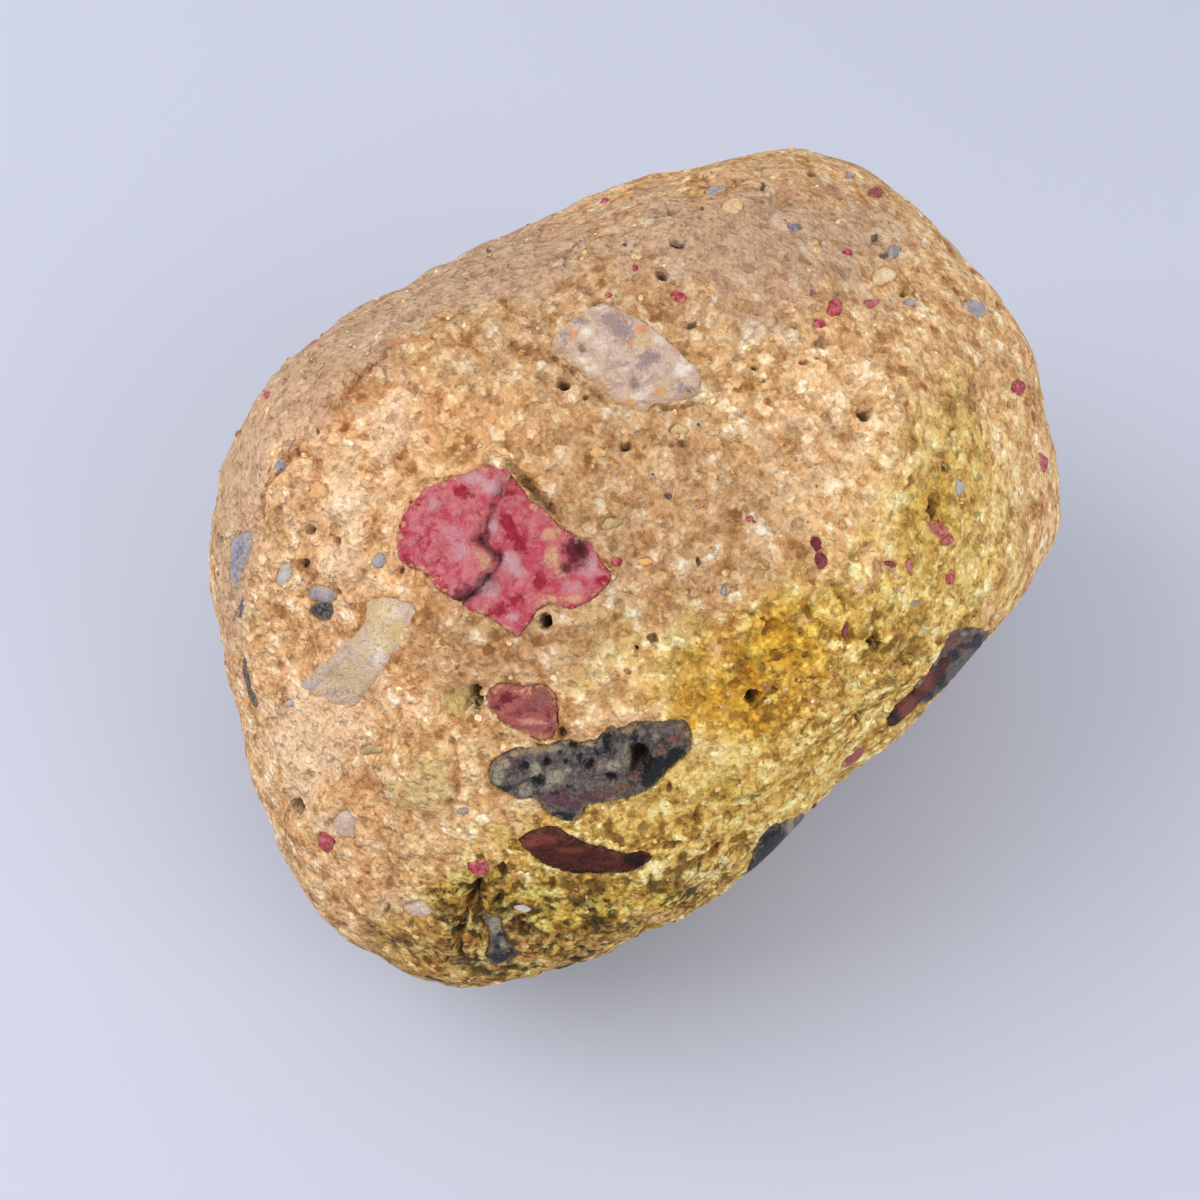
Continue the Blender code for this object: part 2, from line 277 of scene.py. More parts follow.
def cap(hub, corners, seed, proud, edge=0.5, lean=(0.0, 0.0), rough=0.07, rough_span=1.3,
        step=0.28, raggedness=0.16, bed=1.3, lip=0.05, forms=(), bare=()):
    """One pebble's worn face. proud is its height over the skin in mm, edge the width that
    it rounds down over, lean its slope to the right and up, lip the width of edge that the
    sand laps over, forms its own bells, and bare the spots that have no sand at their edge."""
    outline = ragged(np.array(corners), step, raggedness, seed)
    beds.append((hub, outline, bed - min(proud, 0.0), lip))
    low = outline.min(0)
    high = outline.max(0)
    columns, rows = np.ceil((high - low) / step).astype(int) + 1
    column, row = np.meshgrid(np.arange(columns), np.arange(rows))
    inner = low + step * np.stack([column + 0.5 * (row % 2), row * 0.87], 2).reshape(-1, 2)
    inner = inner[inside_by(inner, outline) > 0.55 * step]
    loop = list(range(len(outline)))
    flat, _, faces, *_ = delaunay_2d_cdt(
        [Vector(point) for point in np.concatenate([outline, inner])],
        list(zip(loop, loop[1:] + loop[:1])), [], 1, 1e-5,
    )
    flat = np.array([tuple(point) for point in flat])
    rim = np.maximum(inside_by(flat, outline), 0.0)
    ways = raised_ways(flat, hub)
    level = np.array([reach(Vector(way)) for way in ways])
    places = ways * level[:, None]
    grain = noises(places, (1.0, rough_span, seed), (0.5, rough_span / 2.3, seed))
    body = proud + flat @ np.array(lean) + rough * grain
    if forms:
        body = body + bells(pixels_of(places), places, forms)
    low_edge = min(proud, 0.0) - EDGE_DEPTH
    rise = np.sqrt(1 - (1 - np.clip(rim / edge, 0, 1)) ** 2)
    height = low_edge + (body - low_edge) * rise
    widest = rim.max()
    rim = rim * max(1.0, SANDY_RIM / widest) + SANDY_RIM * bells(pixels_of(places), places, bare)
    return {
        "places": ways * (level + height)[:, None],
        "faces": [tuple(face) for face in faces],
        "rim": rim,
        "own": np.full(len(flat), random.Random(seed).random()),
        "small": np.full(len(flat), 1 - float(smooth(widest, 0.8, 1.6))),
    }


def by_pixels(outline, seed, **shape):
    """A pebble on the show side, from its outline in pixels."""
    ways = [seen_at(*pixel) for pixel in outline]
    hub = sum(ways, Vector()).normalized()
    flat, _ = flattened(np.array(ways), hub)
    return cap(hub, flat, seed, **shape)


def small_shape(width, proud=PIP_PROUD):
    """How a small pebble of a width in mm is worn."""
    return {
        "proud": proud, "edge": min(0.4, 0.35 * width), "step": max(0.16, 0.12 * width),
        "raggedness": 0.09, "bed": 0.7,
    }


def pip(column, row, width, height, seed, turn=0, proud=PIP_PROUD):
    """A small pebble on the show side, from its middle, width and height in pixels."""
    draw = random.Random(seed)
    turn = math.radians(turn)
    outline = []
    for side in range(PIP_SIDES):
        angle = 2 * math.pi * (side + 0.5 * draw.random()) / PIP_SIDES
        share = draw.uniform(0.66, 1.16)
        right = share * width / 2 * math.cos(angle)
        up = share * height / 2 * math.sin(angle)
        outline.append((
            column + right * math.cos(turn) - up * math.sin(turn),
            row - right * math.sin(turn) - up * math.cos(turn),
        ))
    return by_pixels(outline, seed, **small_shape(min(width, height) / 10, proud))


def pips(rows):
    """Small pebbles on the show side, one from each row of pip's values."""
    return [pip(*row) for row in rows]


def other_side(clock, tilt):
    """The direction at a clock angle on the show side, tilted away from facing out of it."""
    clock = math.radians(clock)
    tilt = math.radians(tilt)
    return SHOW @ Vector((
        math.sin(tilt) * math.cos(clock), math.sin(tilt) * math.sin(clock), math.cos(tilt),
    ))


def round_the_back(clock, tilt, length, width, turn, seed, **shape):
    """A pebble on another side, at a clock angle on the show side and tilted away from it,
    with its length and width in mm."""
    turn = math.radians(turn)
    corners = []
    for side in range(PEBBLE_SIDES):
        angle = 2 * math.pi * side / PEBBLE_SIDES
        share = 1 + 0.22 * noise.noise(Vector((math.cos(angle), math.sin(angle), seed)))
        along = share * length / 2 * math.cos(angle)
        over = share * width / 2 * math.sin(angle)
        corners.append((
            along * math.cos(turn) - over * math.sin(turn),
            along * math.sin(turn) + over * math.cos(turn),
        ))
    return cap(other_side(clock, tilt), corners, seed, **shape)


def strewn(count, seed):
    """Small pebbles at seeded places on the other sides, clear of the pebbles so far."""
    draw = random.Random(seed)
    made = []
    while len(made) < count:
        tilt = math.degrees(math.acos(draw.uniform(*STREWN_TILTS)))
        clock = draw.uniform(-180, 180)
        turn = draw.uniform(0, 180)
        length = LEAST_STREWN + MORE_STREWN * draw.random() ** 2
        width = length * draw.uniform(0.5, 0.9)
        hub = other_side(clock, tilt)
        clear = all(
            hub.angle(other) * reach(hub) > length + np.abs(outline).max()
            for other, outline, *_ in beds
        )
        if clear:
            seed += 1
            made.append(round_the_back(clock, tilt, length, width, turn, seed, **small_shape(width)))
    return made


def paint_on(mesh, values):
    """Puts named values, one for each corner, on a mesh for its material to read."""
    for key, numbers in values.items():
        layer = mesh.attributes.new(key, "FLOAT", "POINT")
        layer.data.foreach_set("value", numbers.astype(np.float32))


def joined(name, caps, material, small_deep=0.0, cracks=(), **painted):
    """One mesh of the pebbles of a kind. Each named paint is a list of spots in pixels, cracks
    are lines in pixels with a half width, painted dark as the shade in them, and small_deep is
    how deep in colour small ones are."""
    places = np.concatenate([one["places"] for one in caps])
    faces = []
    start = 0
    for one in caps:
        faces += [tuple(corner + start for corner in face) for face in one["faces"]]
        start += len(one["places"])
    mesh = bpy.data.meshes.new(name)
    mesh.from_pydata((places + np.array(MIDDLE)) * MM, [], faces)
    pixels = pixels_of(places)
    values = {key: np.concatenate([one[key] for one in caps]) for key in ("rim", "own")}
    for key in ("deep", "pale", "warm", "rust", "pit"):
        values[key] = np.clip(bells(pixels, places, painted.get(key, ())), 0, 1)
    # Painted shade: the cracks are painted dark, as the shade in them.
    for line, half_width in cracks:
        near = 1 - smooth(along_line(pixels, line) / half_width, 0.4, 1.4)
        values["pit"] = np.maximum(values["pit"], 0.85 * near)
    small = np.concatenate([one["small"] for one in caps])
    values["deep"] = np.maximum(values["deep"], small_deep * small)
    paint_on(mesh, values)
    fixed = bmesh.new()
    fixed.from_mesh(mesh)
    bmesh.ops.recalc_face_normals(fixed, faces=fixed.faces)
    inward = [
        face for face in fixed.faces
        if face.normal.dot(face.calc_center_median() - MIDDLE * MM) < 0
    ]
    bmesh.ops.reverse_faces(fixed, faces=inward)
    fixed.to_mesh(mesh)
    fixed.free()
    mesh.shade_smooth()
    mesh.materials.append(material)
    made = linked(name, mesh)
    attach(made, "root")


def colour(red, green, blue):
    """A colour by its screen values out of 255."""
    parts = [part / 255 for part in (red, green, blue)]
    straight = [
        part / 12.92 if part < 0.04 else ((part + 0.055) / 1.055) ** 2.4 for part in parts
    ]
    return (*straight, 1)


def node(tree, kind, inputs, output=0, **settings):
    """A shader node with its settings and inputs, as one of its outputs."""
    made = tree.nodes.new(kind)
    for key, value in settings.items():
        setattr(made, key, value)
    for key, value in inputs.items():
        if isinstance(value, bpy.types.NodeSocket):
            tree.links.new(value, made.inputs[key])
        else:
            made.inputs[key].default_value = value
    return made.outputs[output]


def math_of(tree, operation, *values):
    return node(tree, "ShaderNodeMath", dict(enumerate(values)), operation=operation)


def ramp(tree, value, low, high, bottom=0.0, top=1.0):
    """A value eased from one range to another."""
    return node(tree, "ShaderNodeMapRange", {
        "Value": value, "From Min": low, "From Max": high, "To Min": bottom, "To Max": top,
    }, interpolation_type="SMOOTHSTEP")


def blend(tree, share, below, above, how="MIX"):
    return node(tree, "ShaderNodeMix", {0: share, 6: below, 7: above}, 2,
                data_type="RGBA", blend_type=how)


def plus(tree, value, other, share):
    """A value with a share of another added to it."""
    return math_of(tree, "ADD", value, math_of(tree, "MULTIPLY", other, share))


def layer_of(tree, name):
    """A value that was painted on the mesh."""
    return node(tree, "ShaderNodeAttribute", {}, "Fac", attribute_name=name)


def new_group(name, inputs, outputs):
    """An empty shader group with its sockets, and its own input and output nodes."""
    tree = bpy.data.node_groups.new(name, "ShaderNodeTree")
    for socket, value in inputs.items():
        kind = "NodeSocketVector" if isinstance(value, tuple) else "NodeSocketFloat"
        tree.interface.new_socket(socket, in_out="INPUT", socket_type=kind).default_value = value
    for socket in outputs:
        tree.interface.new_socket(socket, in_out="OUTPUT", socket_type="NodeSocketFloat")
    return tree, tree.nodes.new("NodeGroupInput").outputs, tree.nodes.new("NodeGroupOutput").inputs


def use(tree, group, **values):
    """A group placed in a material, as its outputs."""
    placed = tree.nodes.new("ShaderNodeGroup")
    placed.node_tree = group
    for key, value in values.items():
        placed.inputs[key].default_value = value
    return placed.outputs


def stone_place(tree):
    """A place on the stone in mm."""
    place = node(tree, "ShaderNodeTexCoord", {}, "Object")
    return node(tree, "ShaderNodeVectorMath", {0: place, "Scale": 1 / MM}, operation="SCALE")


def mineral_group():
    """Clouds, mottling, thin veins and fine relief of a broken mineral face."""
    tree, given, result = new_group(
        "mineral", {"Span": 2.0, "Stretch": (1.0, 1.0, 1.0)}, ("Cloud", "Mottle", "Vein", "Height")
    )
    own = math_of(tree, "MULTIPLY", layer_of(tree, "own"), 50.0)
    place = node(tree, "ShaderNodeVectorMath", {0: stone_place(tree), 1: own})
    place = node(tree, "ShaderNodeVectorMath", {0: place, 1: given["Stretch"]}, operation="MULTIPLY")
    often = math_of(tree, "DIVIDE", 1.0, given["Span"])
    clouds = node(tree, "ShaderNodeTexNoise", {
        "Vector": place, "Scale": often, "Detail": 3.0, "Roughness": 0.6, "Distortion": 0.8,
    })
    tree.links.new(ramp(tree, clouds, 0.4, 0.6), result["Cloud"])
    off_line = math_of(tree, "ABSOLUTE", math_of(tree, "SUBTRACT", clouds, 0.47))
    tree.links.new(ramp(tree, off_line, 0.0, 0.02, 1.0, 0.0), result["Vein"])
    fine = node(tree, "ShaderNodeTexNoise", {
        "Vector": place, "Scale": math_of(tree, "MULTIPLY", often, 3.0), "Detail": 4.0,
        "Roughness": 0.65,
    })
    tree.links.new(ramp(tree, fine, 0.42, 0.62), result["Mottle"])
    tree.links.new(plus(tree, clouds, fine, 0.7), result["Height"])
    return tree


# The tone of a grain that is neither dark nor pale.
MIDDLE_TONE = 0.45


def sand_group():
    """Cemented sand: each grain's tone, the dark gaps between grains, and their relief."""
    tree, given, result = new_group("sand", {"Span": 0.8, "Warp": 0.4}, ("Tone", "Gap", "Height"))
    place = node(tree, "ShaderNodeVectorMath", {
        0: stone_place(tree), "Scale": math_of(tree, "DIVIDE", 1.0, given["Span"]),
    }, operation="SCALE")
    warp = node(tree, "ShaderNodeTexNoise", {"Vector": place, "Scale": 1.2, "Detail": 3.0}, "Color")
    loose = node(tree, "ShaderNodeSeparateColor", {"Color": warp}, "Blue")
    warp = node(tree, "ShaderNodeVectorMath", {0: warp, 1: (0.5, 0.5, 0.5)}, operation="SUBTRACT")
    warp = node(tree, "ShaderNodeVectorMath", {0: warp, "Scale": given["Warp"]}, operation="SCALE")
    place = node(tree, "ShaderNodeVectorMath", {0: place, 1: warp})
    away = node(tree, "ShaderNodeTexVoronoi", {"Vector": place, "Scale": 1.0}, "Distance")
    tone = node(tree, "ShaderNodeSeparateColor", {"Color": away.node.outputs["Color"]}, "Red")
    grain = ramp(tree, away, 0.15, 0.8, 1.0, 0.0)
    lift = math_of(tree, "MULTIPLY", math_of(tree, "SUBTRACT", tone, MIDDLE_TONE), grain)
    tree.links.new(math_of(tree, "ADD", lift, MIDDLE_TONE), result["Tone"])
    gap = math_of(tree, "MULTIPLY", ramp(tree, away, 0.42, 0.8), ramp(tree, loose, 0.46, 0.62))
    tree.links.new(gap, result["Gap"])
    height = math_of(tree, "MULTIPLY", grain, math_of(tree, "ADD", tone, 0.6))
    tree.links.new(math_of(tree, "SUBTRACT", height, gap), result["Height"])
    return tree


def new_material(name):
    """A new material, with its nodes and its shader."""
    made = bpy.data.materials.new(name)
    made.use_nodes = True
    return made, made.node_tree, made.node_tree.nodes["Principled BSDF"]


def add_relief(tree, shader, height, distance):
    """Fine relief on a shader's surface, from a height."""
    bump = node(tree, "ShaderNodeBump", {"Height": height, "Distance": distance, "Strength": 1.0})
    tree.links.new(bump, shader.inputs["Normal"])


MINERAL = mineral_group()
SAND = sand_group()
SAND_COLOUR = colour(214, 172, 122)
DIRT_AND_SHADE_COLOUR = colour(112, 72, 44)
PIT_SHADE_COLOUR = colour(36, 22, 16)


def pebble_finish(name, ground, second, deep, pale, warm, rust, span, mottle, roughness, relief,
                  dust, stretch=(1.0, 1.0, 1.0), vein=0.3, dirt_and_shade=0.6, creep=1.6, gloss=0.3):
    """A broken mineral face in a ground and a second colour, with painted deep, pale, warm and
    rusty parts, painted shade in its pits and cracks, grime and painted shade in the sand gaps at
    its edge, and sand grains caught on it."""
    made, tree, shader = new_material(name)
    shader.inputs["Specular IOR Level"].default_value = gloss
    face = use(tree, MINERAL, Span=span, Stretch=stretch)
    body = blend(tree, face["Cloud"], ground, second)
    body = blend(tree, math_of(tree, "MULTIPLY", face["Vein"], vein), body, pale)
    uneven = math_of(tree, "SUBTRACT", face["Mottle"], 0.5)
    for layer, tint in (("warm", warm), ("pale", pale), ("rust", rust), ("deep", deep)):
        painted = plus(tree, layer_of(tree, layer), uneven, 0.5)
        body = blend(tree, ramp(tree, painted, 0.1, 0.9), body, tint)
    darker = blend(tree, 0.55, body, deep)
    body = blend(tree, math_of(tree, "MULTIPLY", face["Mottle"], mottle), body, darker)
    sand = use(tree, SAND, Span=0.8, Warp=1.2)
    rim = layer_of(tree, "rim")
    patch = plus(tree, sand["Tone"], uneven, 0.4)
    patch = math_of(tree, "MULTIPLY", math_of(tree, "SUBTRACT", patch, 0.42), -creep)
    caught = ramp(tree, math_of(tree, "ADD", rim, patch), 0.0, 0.35, dust, 0.0)
    body = blend(tree, caught, body, SAND_COLOUR)
    # Grime and painted shade: the sand gaps along the edge, where the pebble meets the sand, are
    # darkened.
    edge = math_of(tree, "MULTIPLY", ramp(tree, rim, 0.0, 0.3, 1.0, 0.0), sand["Gap"])
    body = blend(tree, math_of(tree, "MULTIPLY", edge, dirt_and_shade), body, DIRT_AND_SHADE_COLOUR)
    # Painted shade: the pits and cracks are darkened to near black.
    body = blend(tree, layer_of(tree, "pit"), body, PIT_SHADE_COLOUR)
    tree.links.new(body, shader.inputs["Base Color"])
    shine = ramp(tree, face["Height"], 0.5, 1.2, roughness - 0.12, roughness + 0.12)
    tree.links.new(shine, shader.inputs["Roughness"])
    add_relief(tree, shader, face["Height"], span * relief * MM)
    return made


# Outlines and cracks are in pixels of the photograph. Forms are soft rises and hollows on a
# face: column, row, width, height and how high in mm, and paints are the same with a strength.
# Pips are column, row, width, height, seed, and where they need them, turn and height in mm.
JASPER_UPPER = (
    (398, 532), (404, 516), (417, 499), (431, 486), (446, 481), (463, 471), (482, 463),
    (498, 463), (509, 470), (503, 485), (498, 500), (490, 514), (482, 530), (478, 540),
    (488, 548), (499, 558), (496, 571), (483, 581), (469, 597), (459, 605), (450, 600),
    (437, 589), (423, 572), (408, 568), (398, 555),
)
JASPER_LOWER = (
    (500, 466), (511, 472), (523, 488), (532, 499), (551, 513), (563, 524), (576, 532),
    (588, 538), (595, 551), (609, 572), (611, 585), (590, 603), (570, 609), (555, 606),
    (538, 612), (528, 627), (517, 639), (505, 633), (486, 622), (467, 612), (456, 603),
    (463, 594), (476, 577), (488, 567), (491, 560), (481, 552), (471, 541), (475, 529),
    (483, 512), (491, 498), (496, 482),
)
JASPER_CRACK = (
    (501, 490), (494, 504), (489, 516), (482, 530), (478, 537), (487, 547), (495, 553),
    (499, 560), (494, 569), (487, 577), (477, 589), (468, 597), (458, 601),
)
SEAM = (
    (503, 484, 22, 40, 1.0), (490, 516, 26, 40, 1.0), (483, 538, 30, 26, 1.0),
    (496, 560, 26, 34, 1.0), (482, 582, 36, 26, 1.0), (464, 599, 30, 20, 1.0),
)
UPPER_FORMS = (
    (491, 473, 26, 10, -0.5), (473, 496, 8, 10, -0.4), (425, 520, 40, 40, 0.2),
    (462, 600, 22, 14, -0.5), (478, 568, 26, 24, 0.25), (450, 548, 34, 12, -0.3),
    (462, 492, 20, 20, 0.25), (432, 545, 20, 30, 0.2), (480, 553, 12, 14, 0.25),
    (446, 512, 12, 30, -0.25), (422, 498, 20, 10, -0.2), (440, 578, 30, 10, -0.2),
)
LOWER_FORMS = (
    (577, 552, 26, 34, -1.1), (507, 540, 18, 60, 0.3), (556, 590, 30, 20, -0.35),
    (514, 620, 34, 24, 0.3), (548, 530, 26, 14, 0.25), (592, 580, 26, 34, 0.35),
    (522, 530, 10, 50, -0.3), (540, 508, 34, 10, -0.25), (542, 572, 14, 20, -0.25),
    (482, 534, 12, 20, -0.5), (497, 556, 12, 16, -0.5), (484, 583, 24, 14, -0.5),
    (556, 558, 16, 40, 0.3), (536, 594, 30, 10, -0.2), (505, 596, 24, 16, 0.15),
)
RED_PIPS = (
    (478, 869, 25, 21, 3, 0, 0.15), (681, 297, 25, 17, 4, -15), (635, 270, 13, 12, 5),
    (609, 295, 10, 10, 6), (605, 201, 13, 8, 7, 20), (833, 307, 18, 25, 8),
    (819, 324, 18, 12, 9), (874, 302, 25, 10, 10, 15), (847, 252, 15, 9, 11),
    (751, 518, 11, 9, 15), (1019, 388, 16, 20, 16), (865, 544, 10, 9, 18),
    (941, 530, 30, 18, 12, -35), (947, 541, 16, 12, 24, 20), (951, 578, 11, 19, 13, -10),
    (909, 566, 10, 18, 14), (1043, 463, 10, 27, 17, 8), (616, 562, 14, 12, 19),
    (411, 565, 10, 9, 20), (327, 843, 22, 28, 21, 20), (307, 346, 30, 8, 22, 35),
    (266, 394, 8, 12, 23), (812, 293, 8, 9, 26),
)
jasper_caps = [
    by_pixels(JASPER_UPPER, 1, proud=0.5, edge=0.3, raggedness=0.2, lean=(0.01, 0.0),
              bare=SEAM, forms=UPPER_FORMS),
    by_pixels(JASPER_LOWER, 2, proud=-0.25, edge=0.3, raggedness=0.24, lean=(-0.012, 0.0),
              bare=SEAM, forms=LOWER_FORMS),
    *pips(RED_PIPS),
    round_the_back(150, 112, 9, 7, 10, 27, proud=0.4),
    round_the_back(8, 138, 10, 7, -60, 28, proud=0.4), *strewn(16, 200),
]
joined(
    "red_jasper", jasper_caps,
    pebble_finish(
        "red jasper", colour(186, 68, 86), colour(200, 114, 118), deep=colour(152, 22, 46),
        pale=colour(200, 154, 160), warm=colour(208, 160, 124), rust=colour(122, 56, 64),
        span=1.5, mottle=0.5, roughness=0.5, relief=0.5, dust=0.6,
    ),
    small_deep=0.5,
    deep=(
        (462, 492, 20, 18, 1.0), (505, 520, 16, 20, 0.9), (512, 531, 16, 22, 1.0),
        (519, 542, 15, 22, 1.0), (524, 553, 12, 16, 0.7), (540, 581, 15, 22, 1.0),
        (602, 583, 18, 16, 0.9), (484, 616, 28, 12, 0.9), (499, 610, 24, 14, 0.9),
        (516, 600, 26, 16, 0.7), (445, 591, 12, 18, 0.9), (404, 560, 16, 18, 0.8),
        (403, 527, 14, 28, 0.6), (424, 540, 22, 24, 0.5), (417, 502, 28, 20, 0.6),
        (510, 491, 14, 18, 0.7), (440, 560, 20, 14, 0.4), (432, 524, 14, 18, 0.4),
        (411, 565, 14, 10, 0.8), (574, 607, 14, 8, 0.7), (478, 512, 16, 14, 0.4),
        (1019, 388, 20, 24, 0.5), (478, 869, 24, 20, 0.6), (676, 292, 14, 12, 0.7),
        (833, 302, 14, 14, 0.4), (327, 850, 20, 14, 0.5),
    ),
    pale=(
        (473, 478, 28, 16, 1.0), (493, 487, 28, 20, 1.0), (493, 525, 14, 24, 0.9),
        (510, 562, 24, 26, 1.0), (521, 573, 18, 14, 0.7), (489, 588, 28, 26, 0.9),
        (434, 503, 24, 18, 0.6), (451, 532, 26, 20, 0.6), (462, 552, 26, 30, 0.7),
        # On the next line, the spot at 513, 618 is a painted highlight on the rise there.
        (588, 565, 26, 30, 0.9), (572, 587, 28, 20, 0.6), (513, 618, 20, 14, 0.8),
        (874, 302, 30, 14, 0.5), (413, 545, 14, 20, 0.4), (530, 508, 14, 12, 0.4),
    ),
    warm=(
        (485, 560, 14, 24, 0.9), (476, 553, 12, 16, 0.6), (551, 534, 24, 18, 0.9),
        (552, 558, 18, 26, 1.0), (562, 571, 16, 16, 0.8), (573, 599, 22, 12, 0.8),
        (546, 601, 32, 14, 0.7), (510, 480, 9, 20, 0.8), (530, 622, 18, 18, 0.4),
        (944, 535, 50, 40, 0.6), (951, 574, 24, 30, 0.5), (909, 566, 24, 30, 0.6),
        (1043, 463, 24, 40, 0.4),
    ),
    # Dark red in the hollows and along the crack's step: the stone's own darker red, and painted shade.
    rust=(
        (577, 551, 28, 36, 1.0), (566, 569, 16, 14, 0.9), (491, 473, 28, 11, 1.0),
        (466, 592, 28, 18, 1.0), (457, 599, 18, 12, 1.0), (473, 495, 8, 10, 0.8),
        (484, 536, 14, 26, 0.8), (497, 558, 13, 20, 0.8), (486, 578, 22, 13, 0.8),
    ),
    # Painted shade in the hollow at the top of the crack and in the dark pit of the lower half.
    pit=((491, 474, 20, 8, 0.9), (581, 548, 12, 20, 0.7), (566, 568, 12, 10, 0.5)),
    cracks=((JASPER_CRACK, 3.2),),
)


# Mauve jasper: duller red to purple pebbles of the same hard stone, with grey-pink faces.
# They sit level in the sand or stand a little proud of it.

MAUVE_EGG = (
    (484, 698), (491, 686), (502, 682), (520, 683), (538, 684), (553, 690), (560, 704),
    (560, 721), (556, 738), (541, 742), (524, 735), (508, 727), (493, 714),
)
EGG_FORMS = (
    (506, 703, 20, 18, -0.25), (536, 700, 26, 20, 0.2), (524, 722, 30, 12, 0.2),
    (530, 712, 36, 8, -0.2), (556, 734, 10, 14, -0.5),
)
MAUVE_PIPS = (
    (817, 544, 22, 22, 42), (821, 560, 16, 20, 43), (846, 628, 9, 28, 44, -6),
    (889, 563, 17, 12, 45, -20), (702, 210, 10, 8, 47), (877, 191, 19, 13, 48, -30),
    (853, 758, 30, 7, 24, 42), (817, 812, 12, 22, 25, -40),
)
joined(
    "mauve_jasper",
    [
        by_pixels(MAUVE_EGG, 41, proud=0.35, edge=1.1, raggedness=0.24, forms=EGG_FORMS),
        *pips(MAUVE_PIPS),
        round_the_back(112, 128, 8, 6, 70, 49, proud=0.4),
        round_the_back(-122, 116, 11, 8, -15, 50, proud=0.4), *strewn(8, 220),
    ],
    pebble_finish(
        "mauve jasper", colour(142, 64, 62), colour(162, 88, 78), deep=colour(106, 24, 38),
        pale=colour(206, 144, 126), warm=colour(196, 144, 102), rust=colour(134, 84, 74),
        span=1.3, vein=0.35, mottle=0.5, roughness=0.55, relief=0.35, dust=0.5, creep=1.0,
    ),
    small_deep=0.3,
    deep=(
        (821, 552, 30, 40, 0.8), (846, 628, 12, 30, 0.6), (889, 563, 12, 12, 0.6),
        (507, 697, 26, 14, 1.0), (497, 706, 18, 12, 0.8), (550, 722, 14, 26, 0.5),
        (524, 714, 40, 6, 0.5), (817, 544, 16, 14, 0.6), (505, 686, 8, 8, 0.6),
    ),
    pale=(
        (528, 694, 20, 8, 0.5), (536, 722, 40, 8, 0.9), (893, 561, 10, 8, 0.6),
        (524, 732, 34, 8, 0.6),
    ),
    warm=((534, 738, 40, 12, 0.8), (516, 690, 10, 8, 0.4)),
    rust=((542, 695, 30, 18, 0.9), (530, 705, 20, 12, 0.4)),
)


# Ironstone: maroon-brown, iron-rich pebbles, long and fibrous, worn a little below the sand.
# One is a lens under the black chert, and another makes the red part of the right rim.

IRON_LENS = (
    (517, 842), (522, 836), (536, 830), (550, 826), (562, 830), (577, 838), (592, 844),
    (608, 847), (617, 850), (632, 853), (644, 851), (654, 857), (649, 865), (635, 873),
    (617, 876), (600, 877), (568, 877), (553, 871), (536, 864), (520, 848),
)
RIM_IRON = (
    (887, 722), (896, 708), (914, 690), (928, 668), (940, 652), (952, 652), (948, 666),
    (934, 684), (918, 702), (904, 716), (890, 727),
)
joined(
    "ironstone",
    [
        by_pixels(IRON_LENS, 61, proud=-0.05, raggedness=0.14, rough=0.1, rough_span=0.9),
        by_pixels(RIM_IRON, 62, proud=0.25, edge=0.4),
        round_the_back(78, 112, 13, 9, 20, 63, proud=0.4, rough=0.12),
        round_the_back(40, 118, 11, 7, -30, 64, proud=-0.1, rough=0.1), *strewn(4, 240),
    ],
    pebble_finish(
        "ironstone", colour(74, 27, 20), colour(100, 40, 30), deep=colour(30, 11, 9),
        pale=colour(158, 80, 66), warm=colour(140, 78, 46), rust=colour(96, 60, 48),
        span=0.9, stretch=(0.5, 1.5, 1.5), vein=0.5, mottle=0.9, roughness=0.55, relief=1.0,
        dust=0.12, gloss=0.2,
    ),
    deep=(
        (560, 872, 60, 12, 0.7), (606, 874, 80, 8, 0.9), (638, 861, 36, 18, 0.9),
        (893, 720, 16, 16, 1.0), (600, 860, 40, 6, 0.4),
    ),
    pale=(
        # The first three spots, along the lens's upper left, are paler streaks and painted highlight.
        (540, 839, 44, 14, 0.9), (572, 850, 40, 9, 0.7), (527, 845, 20, 10, 0.7),
        (610, 862, 50, 6, 0.5), (906, 704, 26, 40, 0.9), (926, 680, 20, 34, 0.8),
    ),
    warm=((610, 856, 40, 8, 0.3),),
)


# Black chert: blue-black to grey flinty pebbles with purple clouds, broken into hollows and
# ridges. The longest lies under the mauve pebble, and three more are cut by the rim.

CHERT_LONG = (
    (488, 773), (493, 763), (505, 753), (516, 749), (537, 747), (553, 743), (568, 738),
    (595, 740), (605, 729), (623, 727), (638, 721), (661, 721), (684, 718), (692, 730),
    (690, 750), (674, 767), (654, 787), (635, 796), (605, 804), (588, 808), (583, 818),
    (569, 823), (553, 819), (542, 810), (534, 801), (520, 801), (507, 795), (494, 787),
)
CHERT_CORNER = (
    (740, 878), (753, 854), (769, 828), (788, 820), (804, 812), (804, 822), (791, 835),
    (772, 854), (753, 870),
)
CHERT_WEDGE = (
    (480, 920), (499, 917), (505, 936), (515, 949), (523, 955), (499, 967), (483, 962),
    (486, 939),
)
CHERT_RIM = (
    (914, 690), (928, 668), (938, 652), (944, 638), (960, 626), (987, 628), (986, 637),
    (963, 666), (944, 685), (924, 704), (919, 700), (934, 684),
)
